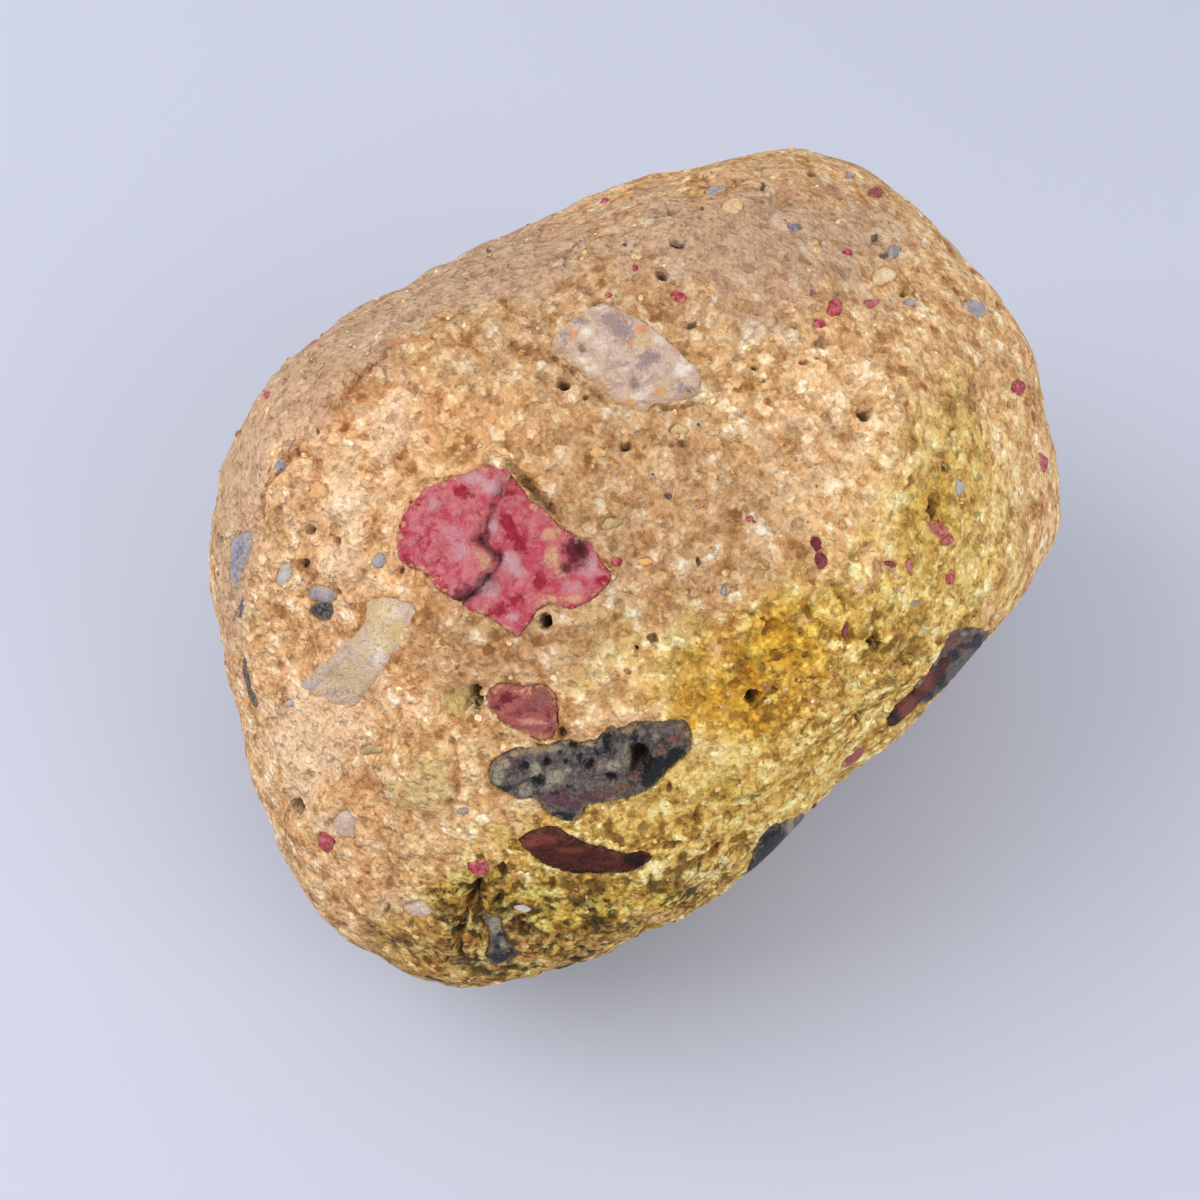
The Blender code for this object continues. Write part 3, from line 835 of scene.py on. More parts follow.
CHERT_FORMS = (
    (638, 757, 22, 28, -2.0), (620, 766, 18, 22, 0.4), (622, 787, 18, 12, 0.4),
    (635, 776, 18, 12, 0.45), (648, 765, 18, 12, 0.5), (661, 753, 18, 12, 0.5),
    (674, 741, 18, 12, 0.45), (546, 762, 8, 9, -0.5), (591, 763, 11, 11, -0.7),
    (612, 742, 9, 34, -0.5), (574, 745, 10, 9, -0.4), (536, 783, 14, 12, -0.5),
    (612, 776, 12, 9, -0.5), (526, 782, 16, 44, -0.3), (505, 775, 26, 24, 0.3),
    (565, 775, 30, 24, 0.25), (566, 800, 40, 20, 0.2), (662, 776, 30, 24, -0.2),
    (640, 732, 60, 10, 0.2), (548, 750, 12, 10, 0.3),
)
CHERT_PIPS = (
    (322, 610, 24, 24, 85, 0, 0.0), (248, 676, 12, 62, 86, 14, 0.0), (625, 246, 13, 10, 87),
    (763, 188, 9, 14, 88), (885, 255, 9, 9, 89), (876, 237, 10, 12, 90), (320, 432, 13, 16, 91),
    (669, 496, 12, 9, 92), (652, 474, 8, 7, 93), (699, 424, 7, 7, 94), (876, 597, 7, 6, 95),
    (488, 251, 8, 6, 96), (698, 562, 8, 12, 98), (756, 521, 7, 7, 99),
)
joined(
    "black_chert",
    [
        by_pixels(CHERT_LONG, 81, proud=0.2, raggedness=0.22, rough=0.16, rough_span=0.9,
                  bed=3.0, forms=CHERT_FORMS),
        by_pixels(CHERT_CORNER, 82, proud=0.2, rough=0.1),
        by_pixels(CHERT_WEDGE, 83, proud=-0.15, rough=0.1),
        by_pixels(CHERT_RIM, 84, proud=0.2, rough=0.12),
        *pips(CHERT_PIPS),
        round_the_back(176, 128, 14, 10, 60, 100, proud=0.4, rough=0.14),
        round_the_back(62, 148, 15, 10, 15, 101, proud=-0.1, rough=0.14), *strewn(12, 260),
    ],
    pebble_finish(
        "black chert", colour(74, 68, 66), colour(118, 104, 98), deep=colour(16, 20, 26),
        pale=colour(162, 150, 126), warm=colour(100, 62, 72), rust=colour(122, 84, 68),
        span=0.9, mottle=1.0, roughness=0.5, relief=0.45, dust=0.35, gloss=0.25,
    ),
    deep=(
        (664, 766, 46, 26, 1.6), (655, 780, 34, 20, 1.3), (677, 756, 22, 22, 1.2),
        (561, 818, 36, 12, 1.6), (607, 737, 10, 36, 1.5), (524, 766, 12, 12, 1.2),
        (502, 790, 22, 9, 1.2), (650, 727, 44, 9, 1.2), (538, 780, 15, 13, 1.4),
        (574, 744, 12, 12, 1.3), (547, 761, 9, 10, 1.5), (590, 763, 12, 12, 1.4),
        (522, 749, 18, 6, 1.2), (611, 776, 13, 9, 1.4), (560, 752, 8, 8, 1.1),
        (580, 757, 8, 10, 1.0), (566, 762, 8, 8, 1.0), (597, 752, 8, 10, 0.9),
        (556, 792, 12, 8, 0.9), (634, 738, 12, 9, 1.0), (570, 786, 10, 6, 0.8),
        (322, 610, 24, 24, 0.5), (954, 656, 14, 14, 1.5), (968, 646, 30, 8, 1.0),
        (772, 848, 34, 60, 1.5), (755, 868, 20, 24, 1.2), (486, 940, 10, 40, 1.0),
        (940, 678, 16, 26, 1.3), (926, 694, 14, 16, 1.1), (978, 640, 12, 20, 0.9),
        (500, 958, 30, 14, 0.9), (497, 947, 8, 7, 1.4), (511, 951, 14, 8, 1.2),
        (488, 951, 8, 8, 1.5), (500, 934, 6, 6, 1.2), (930, 690, 10, 30, 0.9),
    ),
    pale=(
        (554, 748, 24, 10, 1.0), (556, 776, 22, 18, 1.0), (535, 770, 12, 22, 1.5),
        (525, 790, 14, 16, 1.4), (627, 757, 10, 26, 1.5), (613, 765, 16, 12, 1.4),
        (656, 737, 8, 8, 1.6), (672, 723, 26, 6, 1.3), (498, 776, 12, 22, 1.3),
        (506, 764, 14, 8, 1.0), (588, 743, 16, 8, 1.0), (568, 770, 8, 8, 1.0),
        (600, 766, 8, 12, 0.8), (548, 786, 10, 10, 0.9), (618, 745, 10, 10, 0.6),
        (790, 828, 10, 22, 1.0), (776, 846, 8, 16, 0.9), (762, 862, 6, 14, 0.8),
        (495, 926, 14, 18, 1.2), (503, 944, 10, 14, 1.0), (490, 952, 8, 12, 0.8),
        (962, 634, 16, 6, 0.9),
    ),
    warm=(
        (561, 799, 28, 16, 1.3), (514, 761, 16, 12, 1.2), (542, 801, 18, 12, 1.0),
        (590, 796, 34, 14, 0.9), (620, 731, 24, 10, 0.8), (575, 806, 20, 14, 1.0),
        (950, 640, 34, 24, 1.0), (943, 668, 20, 30, 0.6), (588, 776, 16, 10, 0.6),
    ),
    rust=(
        (622, 787, 20, 12, 1.3), (635, 776, 18, 12, 1.3), (648, 765, 18, 12, 1.3),
        (661, 753, 18, 12, 1.3), (674, 741, 18, 12, 1.3), (685, 730, 14, 14, 1.2),
        (604, 795, 26, 10, 1.0), (582, 779, 8, 8, 1.0), (957, 646, 34, 22, 1.2),
        (946, 662, 10, 30, 0.9),
    ),
    # Painted shade in the chert's hollows: the deep hollow in the middle and three small ones.
    pit=(
        (640, 751, 20, 14, 1.6), (635, 761, 10, 18, 1.6), (632, 768, 6, 8, 1.0),
        (547, 761, 7, 7, 0.8), (590, 763, 8, 8, 0.7), (611, 776, 10, 6, 0.8),
    ),
)


# Lilac quartzite: smooth grey-blue to lilac pebbles of fused sand, most of them small, and
# a long one down the left strip.

LILAC_STRIP = (
    (232, 536), (240, 530), (250, 532), (252, 545), (247, 562), (242, 580), (238, 590),
    (231, 586), (229, 566), (230, 548),
)
LILAC_TOP = (
    (308, 592), (313, 586), (322, 583), (332, 588), (336, 596), (330, 604), (318, 603),
    (310, 600),
)
LILAC_PIPS = (
    (795, 227, 23, 13, 123, -10), (894, 252, 18, 14, 124), (814, 292, 9, 9, 125),
    (853, 170, 10, 16, 126, 20), (715, 190, 25, 9, 127, 10), (976, 308, 34, 21, 128, -35),
    (280, 468, 15, 20, 129, -10), (291, 450, 8, 24, 146, -32, 0.05),
    (378, 560, 23, 17, 130, 20), (262, 577, 10, 9, 131), (724, 591, 8, 12, 132),
    (463, 811, 16, 8, 133), (524, 909, 24, 8, 147, -6), (916, 604, 10, 9, 134),
    (311, 683, 22, 16, 135), (288, 704, 15, 12, 136), (960, 487, 12, 22, 137, 10),
    (911, 301, 16, 10, 138), (284, 576, 17, 30, 139, -10), (257, 607, 8, 15, 140, -10),
    (242, 605, 8, 36, 141, -14, 0.0), (763, 200, 6, 12, 142),
)
joined(
    "lilac_quartzite",
    [
        by_pixels(LILAC_STRIP, 121, proud=0.1), by_pixels(LILAC_TOP, 122, proud=0.25),
        *pips(LILAC_PIPS),
        round_the_back(-158, 112, 8, 5, 35, 144, proud=-0.1),
        round_the_back(128, 152, 9, 7, 80, 145, proud=0.4), *strewn(14, 280),
    ],
    pebble_finish(
        "lilac quartzite", colour(132, 130, 144), colour(166, 156, 160), deep=colour(86, 80, 98),
        pale=colour(198, 192, 180), warm=colour(176, 146, 150), rust=colour(150, 130, 120),
        span=1.0, mottle=0.6, roughness=0.45, relief=0.3, dust=0.8,
    ),
    deep=(
        (795, 227, 24, 14, 0.5), (280, 474, 14, 14, 0.6), (242, 605, 10, 40, 0.8),
        (291, 450, 10, 24, 0.8), (715, 190, 26, 10, 0.3), (763, 200, 10, 14, 0.5),
        (240, 560, 8, 50, 0.4),
    ),
    pale=(
        (284, 576, 20, 36, 0.9), (378, 560, 24, 18, 0.4), (960, 487, 16, 24, 0.6),
        (311, 683, 24, 18, 0.6), (911, 301, 18, 12, 0.5), (288, 704, 16, 14, 0.7),
        (976, 304, 20, 10, 0.5), (524, 909, 26, 10, 1.2),
    ),
    warm=((257, 607, 10, 16, 0.8), (321, 592, 30, 20, 0.5), (894, 252, 10, 12, 0.4)),
)


# Vein quartz: large pinkish-white to clear pebbles with orange stains in their cracks. They
# are hard and stand a little proud, with broken corners and a waxy surface.

QUARTZ_BLOCK = (
    (550, 348), (551, 341), (559, 330), (572, 319), (578, 316), (593, 303), (600, 298),
    (609, 301), (620, 307), (632, 314), (643, 320), (658, 330), (667, 336), (673, 345),
    (680, 349), (686, 358), (698, 372), (701, 383), (700, 392), (693, 397), (678, 402),
    (655, 405), (647, 415), (636, 414), (623, 407), (613, 400), (604, 390), (589, 379),
    (574, 367), (561, 356),
)
QUARTZ_LOBE = (
    (381, 592), (410, 597), (420, 606), (418, 619), (406, 636), (401, 652), (391, 665),
    (374, 685), (360, 704), (352, 708), (322, 701), (306, 691), (302, 682), (313, 667),
    (328, 658), (343, 639), (357, 627), (363, 612), (365, 596),
)
BLOCK_FORMS = (
    (583, 350, 9, 9, -0.8), (690, 384, 26, 24, 0.4), (650, 354, 44, 14, -0.45),
    (617, 322, 34, 26, -0.3), (668, 376, 44, 22, 0.35), (606, 368, 40, 10, -0.3),
    (634, 382, 12, 30, -0.5), (578, 318, 16, 8, -0.35), (653, 402, 20, 8, -0.4),
    (570, 352, 24, 14, 0.3), (640, 334, 16, 20, 0.3), (618, 384, 24, 16, 0.25),
)
LOBE_FORMS = (
    (372, 650, 26, 80, 0.2), (340, 680, 40, 14, -0.25), (392, 616, 20, 30, 0.15),
)
VEIN_PIPS = (
    (344, 824, 30, 38, 163, 0, 0.15), (416, 909, 46, 22, 164, -12, 0.1), (627, 273, 10, 9, 165),
    (679, 429, 24, 15, 166, 0, 0.0), (893, 570, 8, 7, 169),
)
joined(
    "vein_quartz",
    [
        by_pixels(QUARTZ_BLOCK, 161, proud=0.5, edge=0.6, raggedness=0.2, rough=0.24,
                  rough_span=1.6, lip=0.15, forms=BLOCK_FORMS),
        by_pixels(QUARTZ_LOBE, 162, proud=0.2, edge=1.0, raggedness=0.34, rough=0.2,
                  rough_span=1.8, lip=0.5, forms=LOBE_FORMS),
        *pips(VEIN_PIPS),
        round_the_back(-20, 116, 12, 9, 40, 170, proud=0.45, rough=0.14), *strewn(8, 300),
    ],
    pebble_finish(
        "vein quartz", colour(196, 164, 148), colour(216, 186, 160), deep=colour(160, 138, 134),
        pale=colour(242, 225, 210), warm=colour(224, 150, 90), rust=colour(220, 188, 128),
        span=1.2, vein=0.6, mottle=0.35, roughness=0.4, relief=0.6, dust=0.7, dirt_and_shade=0.5, creep=1.8,
    ),
    deep=(
        (613, 318, 30, 20, 1.0), (623, 332, 26, 24, 1.0), (651, 358, 28, 16, 1.0),
        (643, 367, 18, 14, 0.8), (582, 322, 16, 8, 0.9), (566, 336, 10, 20, 0.6),
        (685, 390, 26, 22, 0.7), (578, 317, 16, 6, 0.9), (622, 364, 34, 8, 0.7),
        (635, 383, 12, 12, 0.9), (645, 402, 18, 6, 0.6), (598, 304, 12, 8, 0.7),
        (340, 690, 30, 12, 0.5), (560, 332, 12, 12, 0.5), (330, 670, 24, 16, 0.35),
    ),
    pale=(
        (575, 360, 34, 10, 1.0), (592, 368, 26, 8, 0.8), (586, 332, 16, 12, 0.9),
        (684, 366, 22, 26, 1.0), (600, 307, 22, 6, 0.9), (658, 340, 30, 10, 0.7),
        (640, 396, 26, 10, 0.7), (380, 640, 50, 80, 0.5), (600, 345, 20, 16, 0.5),
        (390, 612, 30, 24, 0.6), (378, 650, 16, 50, 0.5), (344, 812, 26, 20, 0.6),
        (627, 368, 10, 10, 0.7), (420, 906, 40, 16, 0.5),
    ),
    warm=(
        (631, 404, 13, 14, 1.1), (661, 391, 14, 10, 1.0), (641, 329, 18, 12, 1.0),
        (573, 333, 12, 10, 1.0), (631, 340, 10, 14, 0.9), (655, 382, 12, 8, 0.6),
        (570, 345, 6, 5, 0.8), (350, 842, 18, 16, 0.9), (327, 818, 20, 14, 0.7),
        (674, 352, 12, 8, 0.4),
    ),
    rust=(
        (382, 625, 50, 80, 0.7), (350, 680, 80, 50, 0.6), (645, 341, 22, 14, 0.9),
        (600, 385, 20, 12, 0.5), (663, 384, 14, 12, 0.8), (352, 640, 16, 20, 0.5),
        (679, 429, 26, 18, 0.9), (400, 635, 14, 30, 0.5),
    ),
    # Painted shade in the small hollow near the block's left end.
    pit=((583, 350, 7, 6, 1.0),),
)


# Honey quartz: small yellow and orange half-clear pebbles, almost the sand's own colour.
# They show by their smooth, rounded faces.

HONEY_PIPS = (
    (887, 276, 30, 22, 182), (316, 490, 26, 22, 183, 0, 0.1), (735, 206, 28, 17, 184, 0, 0.05),
    (612, 523, 30, 17, 185, 0, 0.05), (597, 452, 24, 14, 186, 0, 0.1),
    (646, 562, 20, 12, 187, 0, 0.05), (370, 751, 26, 12, 143, 10, 0.15),
)
joined(
    "honey_quartz",
    [
        *pips(HONEY_PIPS),
        *strewn(10, 320),
    ],
    pebble_finish(
        "honey quartz", colour(206, 168, 118), colour(222, 190, 140), deep=colour(160, 140, 100),
        pale=colour(236, 214, 176), warm=colour(226, 164, 100), rust=colour(184, 120, 72),
        span=1.6, vein=0.2, mottle=0.5, roughness=0.5, relief=0.3, dust=0.8, dirt_and_shade=0.3, creep=2.6,
    ),
    deep=((370, 751, 26, 14, 0.9), (612, 523, 34, 19, 0.8)),
    pale=((887, 276, 20, 16, 0.8),),
    warm=((316, 490, 26, 22, 0.8), (597, 452, 24, 14, 0.8), (646, 562, 20, 12, 1.0)),
)


# Matrix: sand cemented by lime, tan to yellow, with open gaps between its grains. It fills
# the whole stone between the pebbles, and wear has left it lumpy, pitted and creased.

MATRIX_SQUARES = 94
SHOW_PULL = 0.32
# How far in mm from a pebble's edge the mesh is cut finer, and how far round a pit or dark
# furrow it is cut once and again, as shares of its size.
FINE_EDGE = 0.5
FINE_PIT = 1.6
FINEST_PIT = 1.3
# Pits given in pixels are cut only where the skin faces the show side by at least this.
SEEN_SIDE = 0.15
# How far in mm outside a pebble's edge its bed changes the sand, and how wide the edge is.
BED_MARGIN = 1.5
BED_EDGE = 0.35
# Relief in layers, each a height and a span in mm and a seed.
LUMPS = ((0.4, 9.0, 2.0), (0.42, 4.5, 3.0))
GRIT = ((0.24, 2.2, 4.0), (0.16, 0.95, 5.0))
RAGGED_EDGE = ((0.3, 0.8, 6.0), (0.2, 0.35, 7.0))
GRIT_PIT = 0.28
WINDING_DEPTH = 0.35
# Pits, each a column, row, width and height in pixels and a depth in mm.
PITS = (
    (473, 700, 20, 30, 3.2), (562, 383, 14, 14, 1.6), (585, 396, 8, 7, 0.8),
    (298, 808, 15, 17, 2.0), (753, 698, 13, 19, 1.8), (545, 622, 16, 16, 1.8),
    (677, 243, 16, 12, 1.4), (662, 276, 13, 12, 1.2), (865, 415, 18, 12, 1.5),
    (935, 507, 10, 30, 1.4), (946, 467, 12, 12, 1.2), (812, 174, 11, 8, 1.0),
    (796, 325, 8, 6, 0.7), (754, 367, 8, 6, 0.7), (764, 380, 6, 5, 0.6), (804, 362, 9, 6, 0.7),
    (817, 358, 6, 5, 0.6), (822, 342, 17, 12, 0.6), (905, 293, 8, 8, 0.7),
    (344, 925, 10, 8, 1.0), (625, 445, 12, 8, 0.8), (683, 445, 12, 10, 0.4),
    (401, 570, 8, 9, 0.9), (692, 324, 8, 7, 0.7), (874, 643, 16, 16, 1.4),
    (863, 717, 12, 13, 1.1), (309, 529, 12, 10, 1.0), (338, 541, 10, 9, 0.8),
    (306, 563, 12, 10, 0.9), (339, 592, 8, 8, 0.9), (637, 648, 6, 6, 0.7),
    (652, 639, 12, 11, 0.7), (694, 820, 6, 6, 0.7), (670, 790, 7, 14, 0.8),
    (562, 733, 11, 12, 0.9), (390, 907, 7, 6, 0.7), (490, 930, 20, 10, 0.8),
    (470, 905, 14, 8, 0.7),
)
# Low domes and hollows, in the same terms with a height.
DOMES = (
    (420, 775, 96, 96, 0.9), (400, 424, 70, 88, 0.6), (342, 566, 54, 54, 0.45),
    (451, 356, 50, 24, 0.3), (330, 822, 80, 70, 0.4), (492, 327, 30, 20, 0.25),
    (590, 660, 60, 40, 0.35), (700, 560, 80, 60, 0.3), (480, 395, 60, 50, 0.3),
    (390, 905, 90, 50, 0.4), (640, 830, 60, 30, 0.4), (780, 440, 90, 70, 0.3),
    (360, 480, 60, 70, 0.35), (770, 740, 60, 50, 0.35), (900, 450, 60, 80, 0.3),
    (454, 703, 42, 34, -1.5), (430, 655, 50, 50, -0.35), (610, 470, 60, 50, -0.25),
    (700, 690, 60, 60, -0.3), (480, 850, 60, 40, -0.3), (840, 600, 80, 40, -0.3),
    (760, 290, 90, 50, -0.25), (300, 640, 30, 70, -0.3), (530, 290, 90, 26, -0.25),
)
# Furrows and long swells, each a line in pixels, half its width, its rise in mm and how
# rusty it is. Creases, below, are the same with how much painted shade darkens them.
FURROWS = (
    (((344, 399), (352, 388), (362, 377), (374, 366), (387, 356)), 3, -0.6, 1.6),
    (((480, 905), (484, 920), (478, 940), (472, 960)), 5, -0.6, 0.6),
    (((500, 872), (480, 884), (466, 900), (462, 925), (456, 950)), 6, -0.7, 0.5),
    (((690, 868), (715, 852), (735, 842), (752, 836)), 5, -0.5, 0.6),
    (((262, 514), (261, 500), (266, 490), (276, 480), (302, 452)), 4, -0.5, 1.2),
    (((388, 347), (408, 340), (430, 338), (448, 334)), 5, -0.4, 0.7),
    (((388, 384), (402, 382), (412, 388), (416, 396)), 5, -0.4, 0.8),
    (((438, 392), (440, 404), (437, 416)), 4, -0.3, 0.5),
    (((300, 455), (322, 462), (318, 478), (306, 500)), 4, -0.3, 0.6),
    # Painted shadow: this furrow's rust-brown, along the big red pebble's upper right edge, stands for
    # the shadow of the sand over it.
    (((524, 476), (538, 492), (552, 508), (562, 518)), 6, -0.5, 0.6),
    (((839, 678), (862, 668), (887, 666), (919, 653)), 6, -0.7, 0.5),
    (((727, 814), (742, 808), (759, 809), (790, 790)), 5, -0.5, 0.6),
    # Rust-brown and painted shade along the step at the yellow dome's right edge.
    (((452, 742), (458, 764), (458, 784), (448, 800)), 5, -0.6, 0.5),
    (((360, 545), (366, 562), (362, 582), (350, 592)), 4, -0.3, 0.5),
    (((262, 520), (264, 500), (272, 480)), 4, -0.3, 0.5),
    (((397, 707), (404, 728), (412, 738)), 4, -0.4, 0.3),
    (((385, 362), (340, 415), (285, 480), (275, 520), (262, 600), (262, 680)), 16, 0.5, 0.0),
    (((400, 356), (500, 312), (600, 268), (700, 214), (780, 178)), 16, 0.3, 0.0),
    (((980, 632), (890, 676), (800, 738), (730, 812), (640, 878)), 16, 0.35, 0.0),
    (((268, 790), (330, 876), (420, 928)), 16, 0.35, 0.0),
)
# Each crease is painted dark as shade: the crevices at the bottom, the shadow under the sand's overhang
# by the big red pebble, and the shadow lines under the edges of pebbles.
CREASES = (
    (((477, 882), (468, 894), (465, 912), (458, 934), (460, 954)), 5, -0.5, 0.75),
    (((506, 862), (502, 872), (505, 884), (497, 904)), 4, -0.4, 0.7),
    (((497, 904), (508, 918), (526, 926), (536, 936), (552, 941)), 6, -0.4, 0.7),
    (((472, 900), (480, 910), (478, 924)), 6, -0.4, 0.8),
    (((666, 847), (698, 838)), 4, -0.4, 0.6),
    (((484, 968), (497, 974), (508, 972)), 6, -0.4, 0.8),
    (((540, 952), (562, 954)), 4, -0.4, 0.8),
    (((555, 884), (570, 878), (592, 884)), 5, -0.3, 0.6),
    (((430, 893), (446, 904), (450, 930)), 5, -0.4, 0.5),
    (((506, 464), (517, 473), (528, 484), (538, 498), (550, 510)), 6, -0.5, 0.5),
    (((553, 355), (563, 363), (575, 373), (589, 385), (602, 396), (614, 407), (628, 416)),
     2.5, -0.25, 0.4),
    (((704, 398), (692, 404), (674, 408), (658, 411)), 2.5, -0.3, 0.4),
    (((500, 735), (520, 742), (540, 748), (560, 744)), 3, -0.3, 0.4),
)
# Pits on the other sides: clock angle and tilt, then width, height and depth in mm.
OTHER_PITS = (
    (95, 104, 2.6, 1.9, 2.0), (66, 128, 1.9, 1.6, 1.8), (130, 108, 2.0, 1.5, 1.6),
    (158, 132, 2.8, 2.0, 2.4), (-172, 108, 1.8, 2.4, 1.8), (-136, 104, 2.0, 1.6, 1.6),
    (-4, 112, 2.4, 1.8, 2.0), (24, 102, 1.7, 1.5, 1.6), (20, 148, 2.6, 2.2, 2.2),
    (95, 142, 2.2, 1.7, 1.8),
)
STREWN_PIT_COUNT = 26
STREWN_PIT_SEED = 31
draw = random.Random(STREWN_PIT_SEED)
STREWN_PITS = tuple(
    (draw.uniform(-180, 180), draw.uniform(98, 172), draw.uniform(0.7, 1.8),
     draw.uniform(0.7, 1.3), draw.uniform(0.6, 1.4))
    for _ in range(STREWN_PIT_COUNT)
)


def drawn_in(direction):
    """The direction, moved nearer to the show side's, so that the mesh is finer there."""
    angle = direction.angle(OUT)
    aside = direction - OUT * direction.dot(OUT)
    if aside.length < 1e-6:
        return direction
    angle -= SHOW_PULL * math.sin(angle)
    return OUT * math.cos(angle) + aside.normalized() * math.sin(angle)


matrix_ball = ball(MATRIX_SQUARES)
for corner in matrix_ball.verts:
    corner.co = drawn_in(corner.co)


def made_finer(made, chosen):
    """Cuts each chosen face of a ball into four."""
    picked = [face for face, marked in zip(list(made.faces), chosen) if marked]
    edges = {edge for face in picked for edge in face.edges}
    bmesh.ops.subdivide_edges(made, edges=list(edges), cuts=1, use_grid_fill=True)


def face_ways(made):
    return np.array([face.calc_center_median().normalized() for face in made.faces])


def near_bed(directions, hub, outline, margin):
    """Directions as mm along the skin from a hub, and which are near the outline there."""
    flat, near = flattened(directions, hub)
    return flat, near & (np.abs(flat) < np.abs(outline).max() + margin).all(1)


def at_edges(directions, reach_out):
    """Which directions are within so many mm of where a pebble's edge meets the sand."""
    close = np.zeros(len(directions), bool)
    for hub, outline, *_ in beds:
        flat, near = near_bed(directions, hub, outline, reach_out)
        if near.any():
            close[near] |= np.abs(inside_by(flat[near], outline)) < reach_out
    return close


def skin_places(directions):
    return directions * np.array([reach(Vector(way)) for way in directions])[:, None]


def from_pit(directions, clock, tilt, width, height):
    """How far directions are from a pit on another side, where its edge is 1."""
    flat, near = flattened(directions, other_side(clock, tilt))
    return np.where(near, np.hypot(flat[:, 0] / width, flat[:, 1] / height) * 2, 9.0)


def in_pits(directions, share):
    """Which directions are in a pit or a dark furrow, out to a share of its size."""
    pixels = pixels_of(skin_places(directions))
    inside = np.zeros(len(directions), bool)
    for *spot, _ in PITS:
        inside |= from_pixel(pixels, *spot) < share
    for line, half_width, _, dark in FURROWS + CREASES:
        if dark > 0:
            inside |= along_line(pixels, line) < half_width * share
    inside &= directions @ np.array(OUT) > SEEN_SIDE
    for *spot, _ in OTHER_PITS + STREWN_PITS:
        inside |= from_pit(directions, *spot) < share
    return inside


centres = face_ways(matrix_ball)
made_finer(matrix_ball, at_edges(centres, FINE_EDGE) | in_pits(centres, FINE_PIT))
made_finer(matrix_ball, in_pits(face_ways(matrix_ball), FINEST_PIT))
bmesh.ops.triangulate(matrix_ball, faces=matrix_ball.faces)
ways = np.array([corner.co.normalized() for corner in matrix_ball.verts])
places = skin_places(ways)
level = np.linalg.norm(places, axis=1)
pixels = pixels_of(places)
facing = smooth(ways @ np.array(OUT), 0.0, 0.2)
near_side = smooth(ways @ np.array(OUT), -0.45, 0.1)
RUGGED_SIDE = (
    (630, 900, 420, 130, 1.0), (670, 880, 470, 180, 0.8), (850, 680, 340, 240, 0.7),
    (490, 945, 230, 120, 0.8), (940, 500, 140, 260, 0.2),
)
rugged_near = np.clip(bells(pixels, places / 4, RUGGED_SIDE), 0, 1)
rugged_far = 0.25 + 0.7 * smooth(noise_at(places, 19.0, 12.0), -0.2, 0.4)
rugged = near_side * rugged_near + (1 - near_side) * rugged_far
grit_pits = smooth(noise_at(places, 1.2, 11.0), 0.3, 0.6)
fine_relief = (0.6 + 1.1 * rugged) * (noises(places, *GRIT) - GRIT_PIT * grit_pits)
winding = 1 - smooth(np.abs(noise_at(places, 7.0, 13.0)), 0.02, 0.11)
winding *= smooth(noise_at(places, 6.0, 14.0), 0.05, 0.3)
relief = noises(places, *LUMPS) + fine_relief - WINDING_DEPTH * winding
relief += facing * bells(pixels, places / 3, DOMES)
# Dirt and painted shade: the dips of the fine relief and the winding creases are marked to be darkened.
hollow = np.maximum(smooth(-fine_relief, 0.08, 0.4), 0.7 * winding)
wobble = noises(places, *RAGGED_EDGE)

for hub, outline, bed, lip in beds:
    flat, near = near_bed(ways, hub, outline, BED_MARGIN)
    if near.any():
        into = inside_by(flat[near], outline)
        calm = 0.6 * smooth(into, -1.0, 0.0)
        share = smooth(into + (BED_EDGE + lip) * wobble[near], lip, lip + BED_EDGE)
        relief[near] = relief[near] * (1 - calm) * (1 - share) - bed * share
        hollow[near] = hollow[near] * (1 - calm)


def within_pit(away):
    """How far into a pit each place is, as a share, by how far it is from the pit."""
    return 1 - smooth(away + 1.3 * wobble, 0.5, 1.15)


# Painted shade in the pits: each is darkened, the more the deeper it is.
pit = np.zeros(len(ways))
for *spot, depth in PITS:
    share = facing * within_pit(from_pixel(pixels, *spot))
    relief -= depth * share
    pit = np.maximum(pit, share * min(1.0, 0.2 + 0.4 * depth))
for *spot, depth in OTHER_PITS + STREWN_PITS:
    share = within_pit(from_pit(ways, *spot))
    relief -= depth * share
    pit = np.maximum(pit, 0.9 * share)


def within_line(line, half_width, wander):
    """How far into a line each place is, as a share, with an edge that wanders."""
    away = along_line(pixels, line) / half_width
    return facing * (1 - smooth(away + wander * wobble, 0.2, 1.3))


rust = np.zeros(len(ways))
for line, half_width, rise, dark in FURROWS:
    share = within_line(line, half_width, 1.5)
    relief += rise * share
    rust = np.maximum(rust, dark * share)
# Painted shade along the creases, broken into lengths.
broken = smooth(noise_at(places, 1.2, 17.0), -0.35, 0.1)
for line, half_width, rise, dark in CREASES:
    share = broken * within_line(line, half_width, 2.0)
    relief += rise * share
    pit = np.maximum(pit, dark * share)


def zone(elsewhere, seed, spots):
    """A stain in spots on the show side, and in patches of a given strength elsewhere. The
    zone over the middle of the show side is painted shade, and the grey zone partly.
    """
    patches = elsewhere * smooth(noise_at(places, 13.0, seed), -0.15, 0.35)
    return near_side * np.clip(bells(pixels, places / 4, spots), 0, 1) + (1 - near_side) * patches


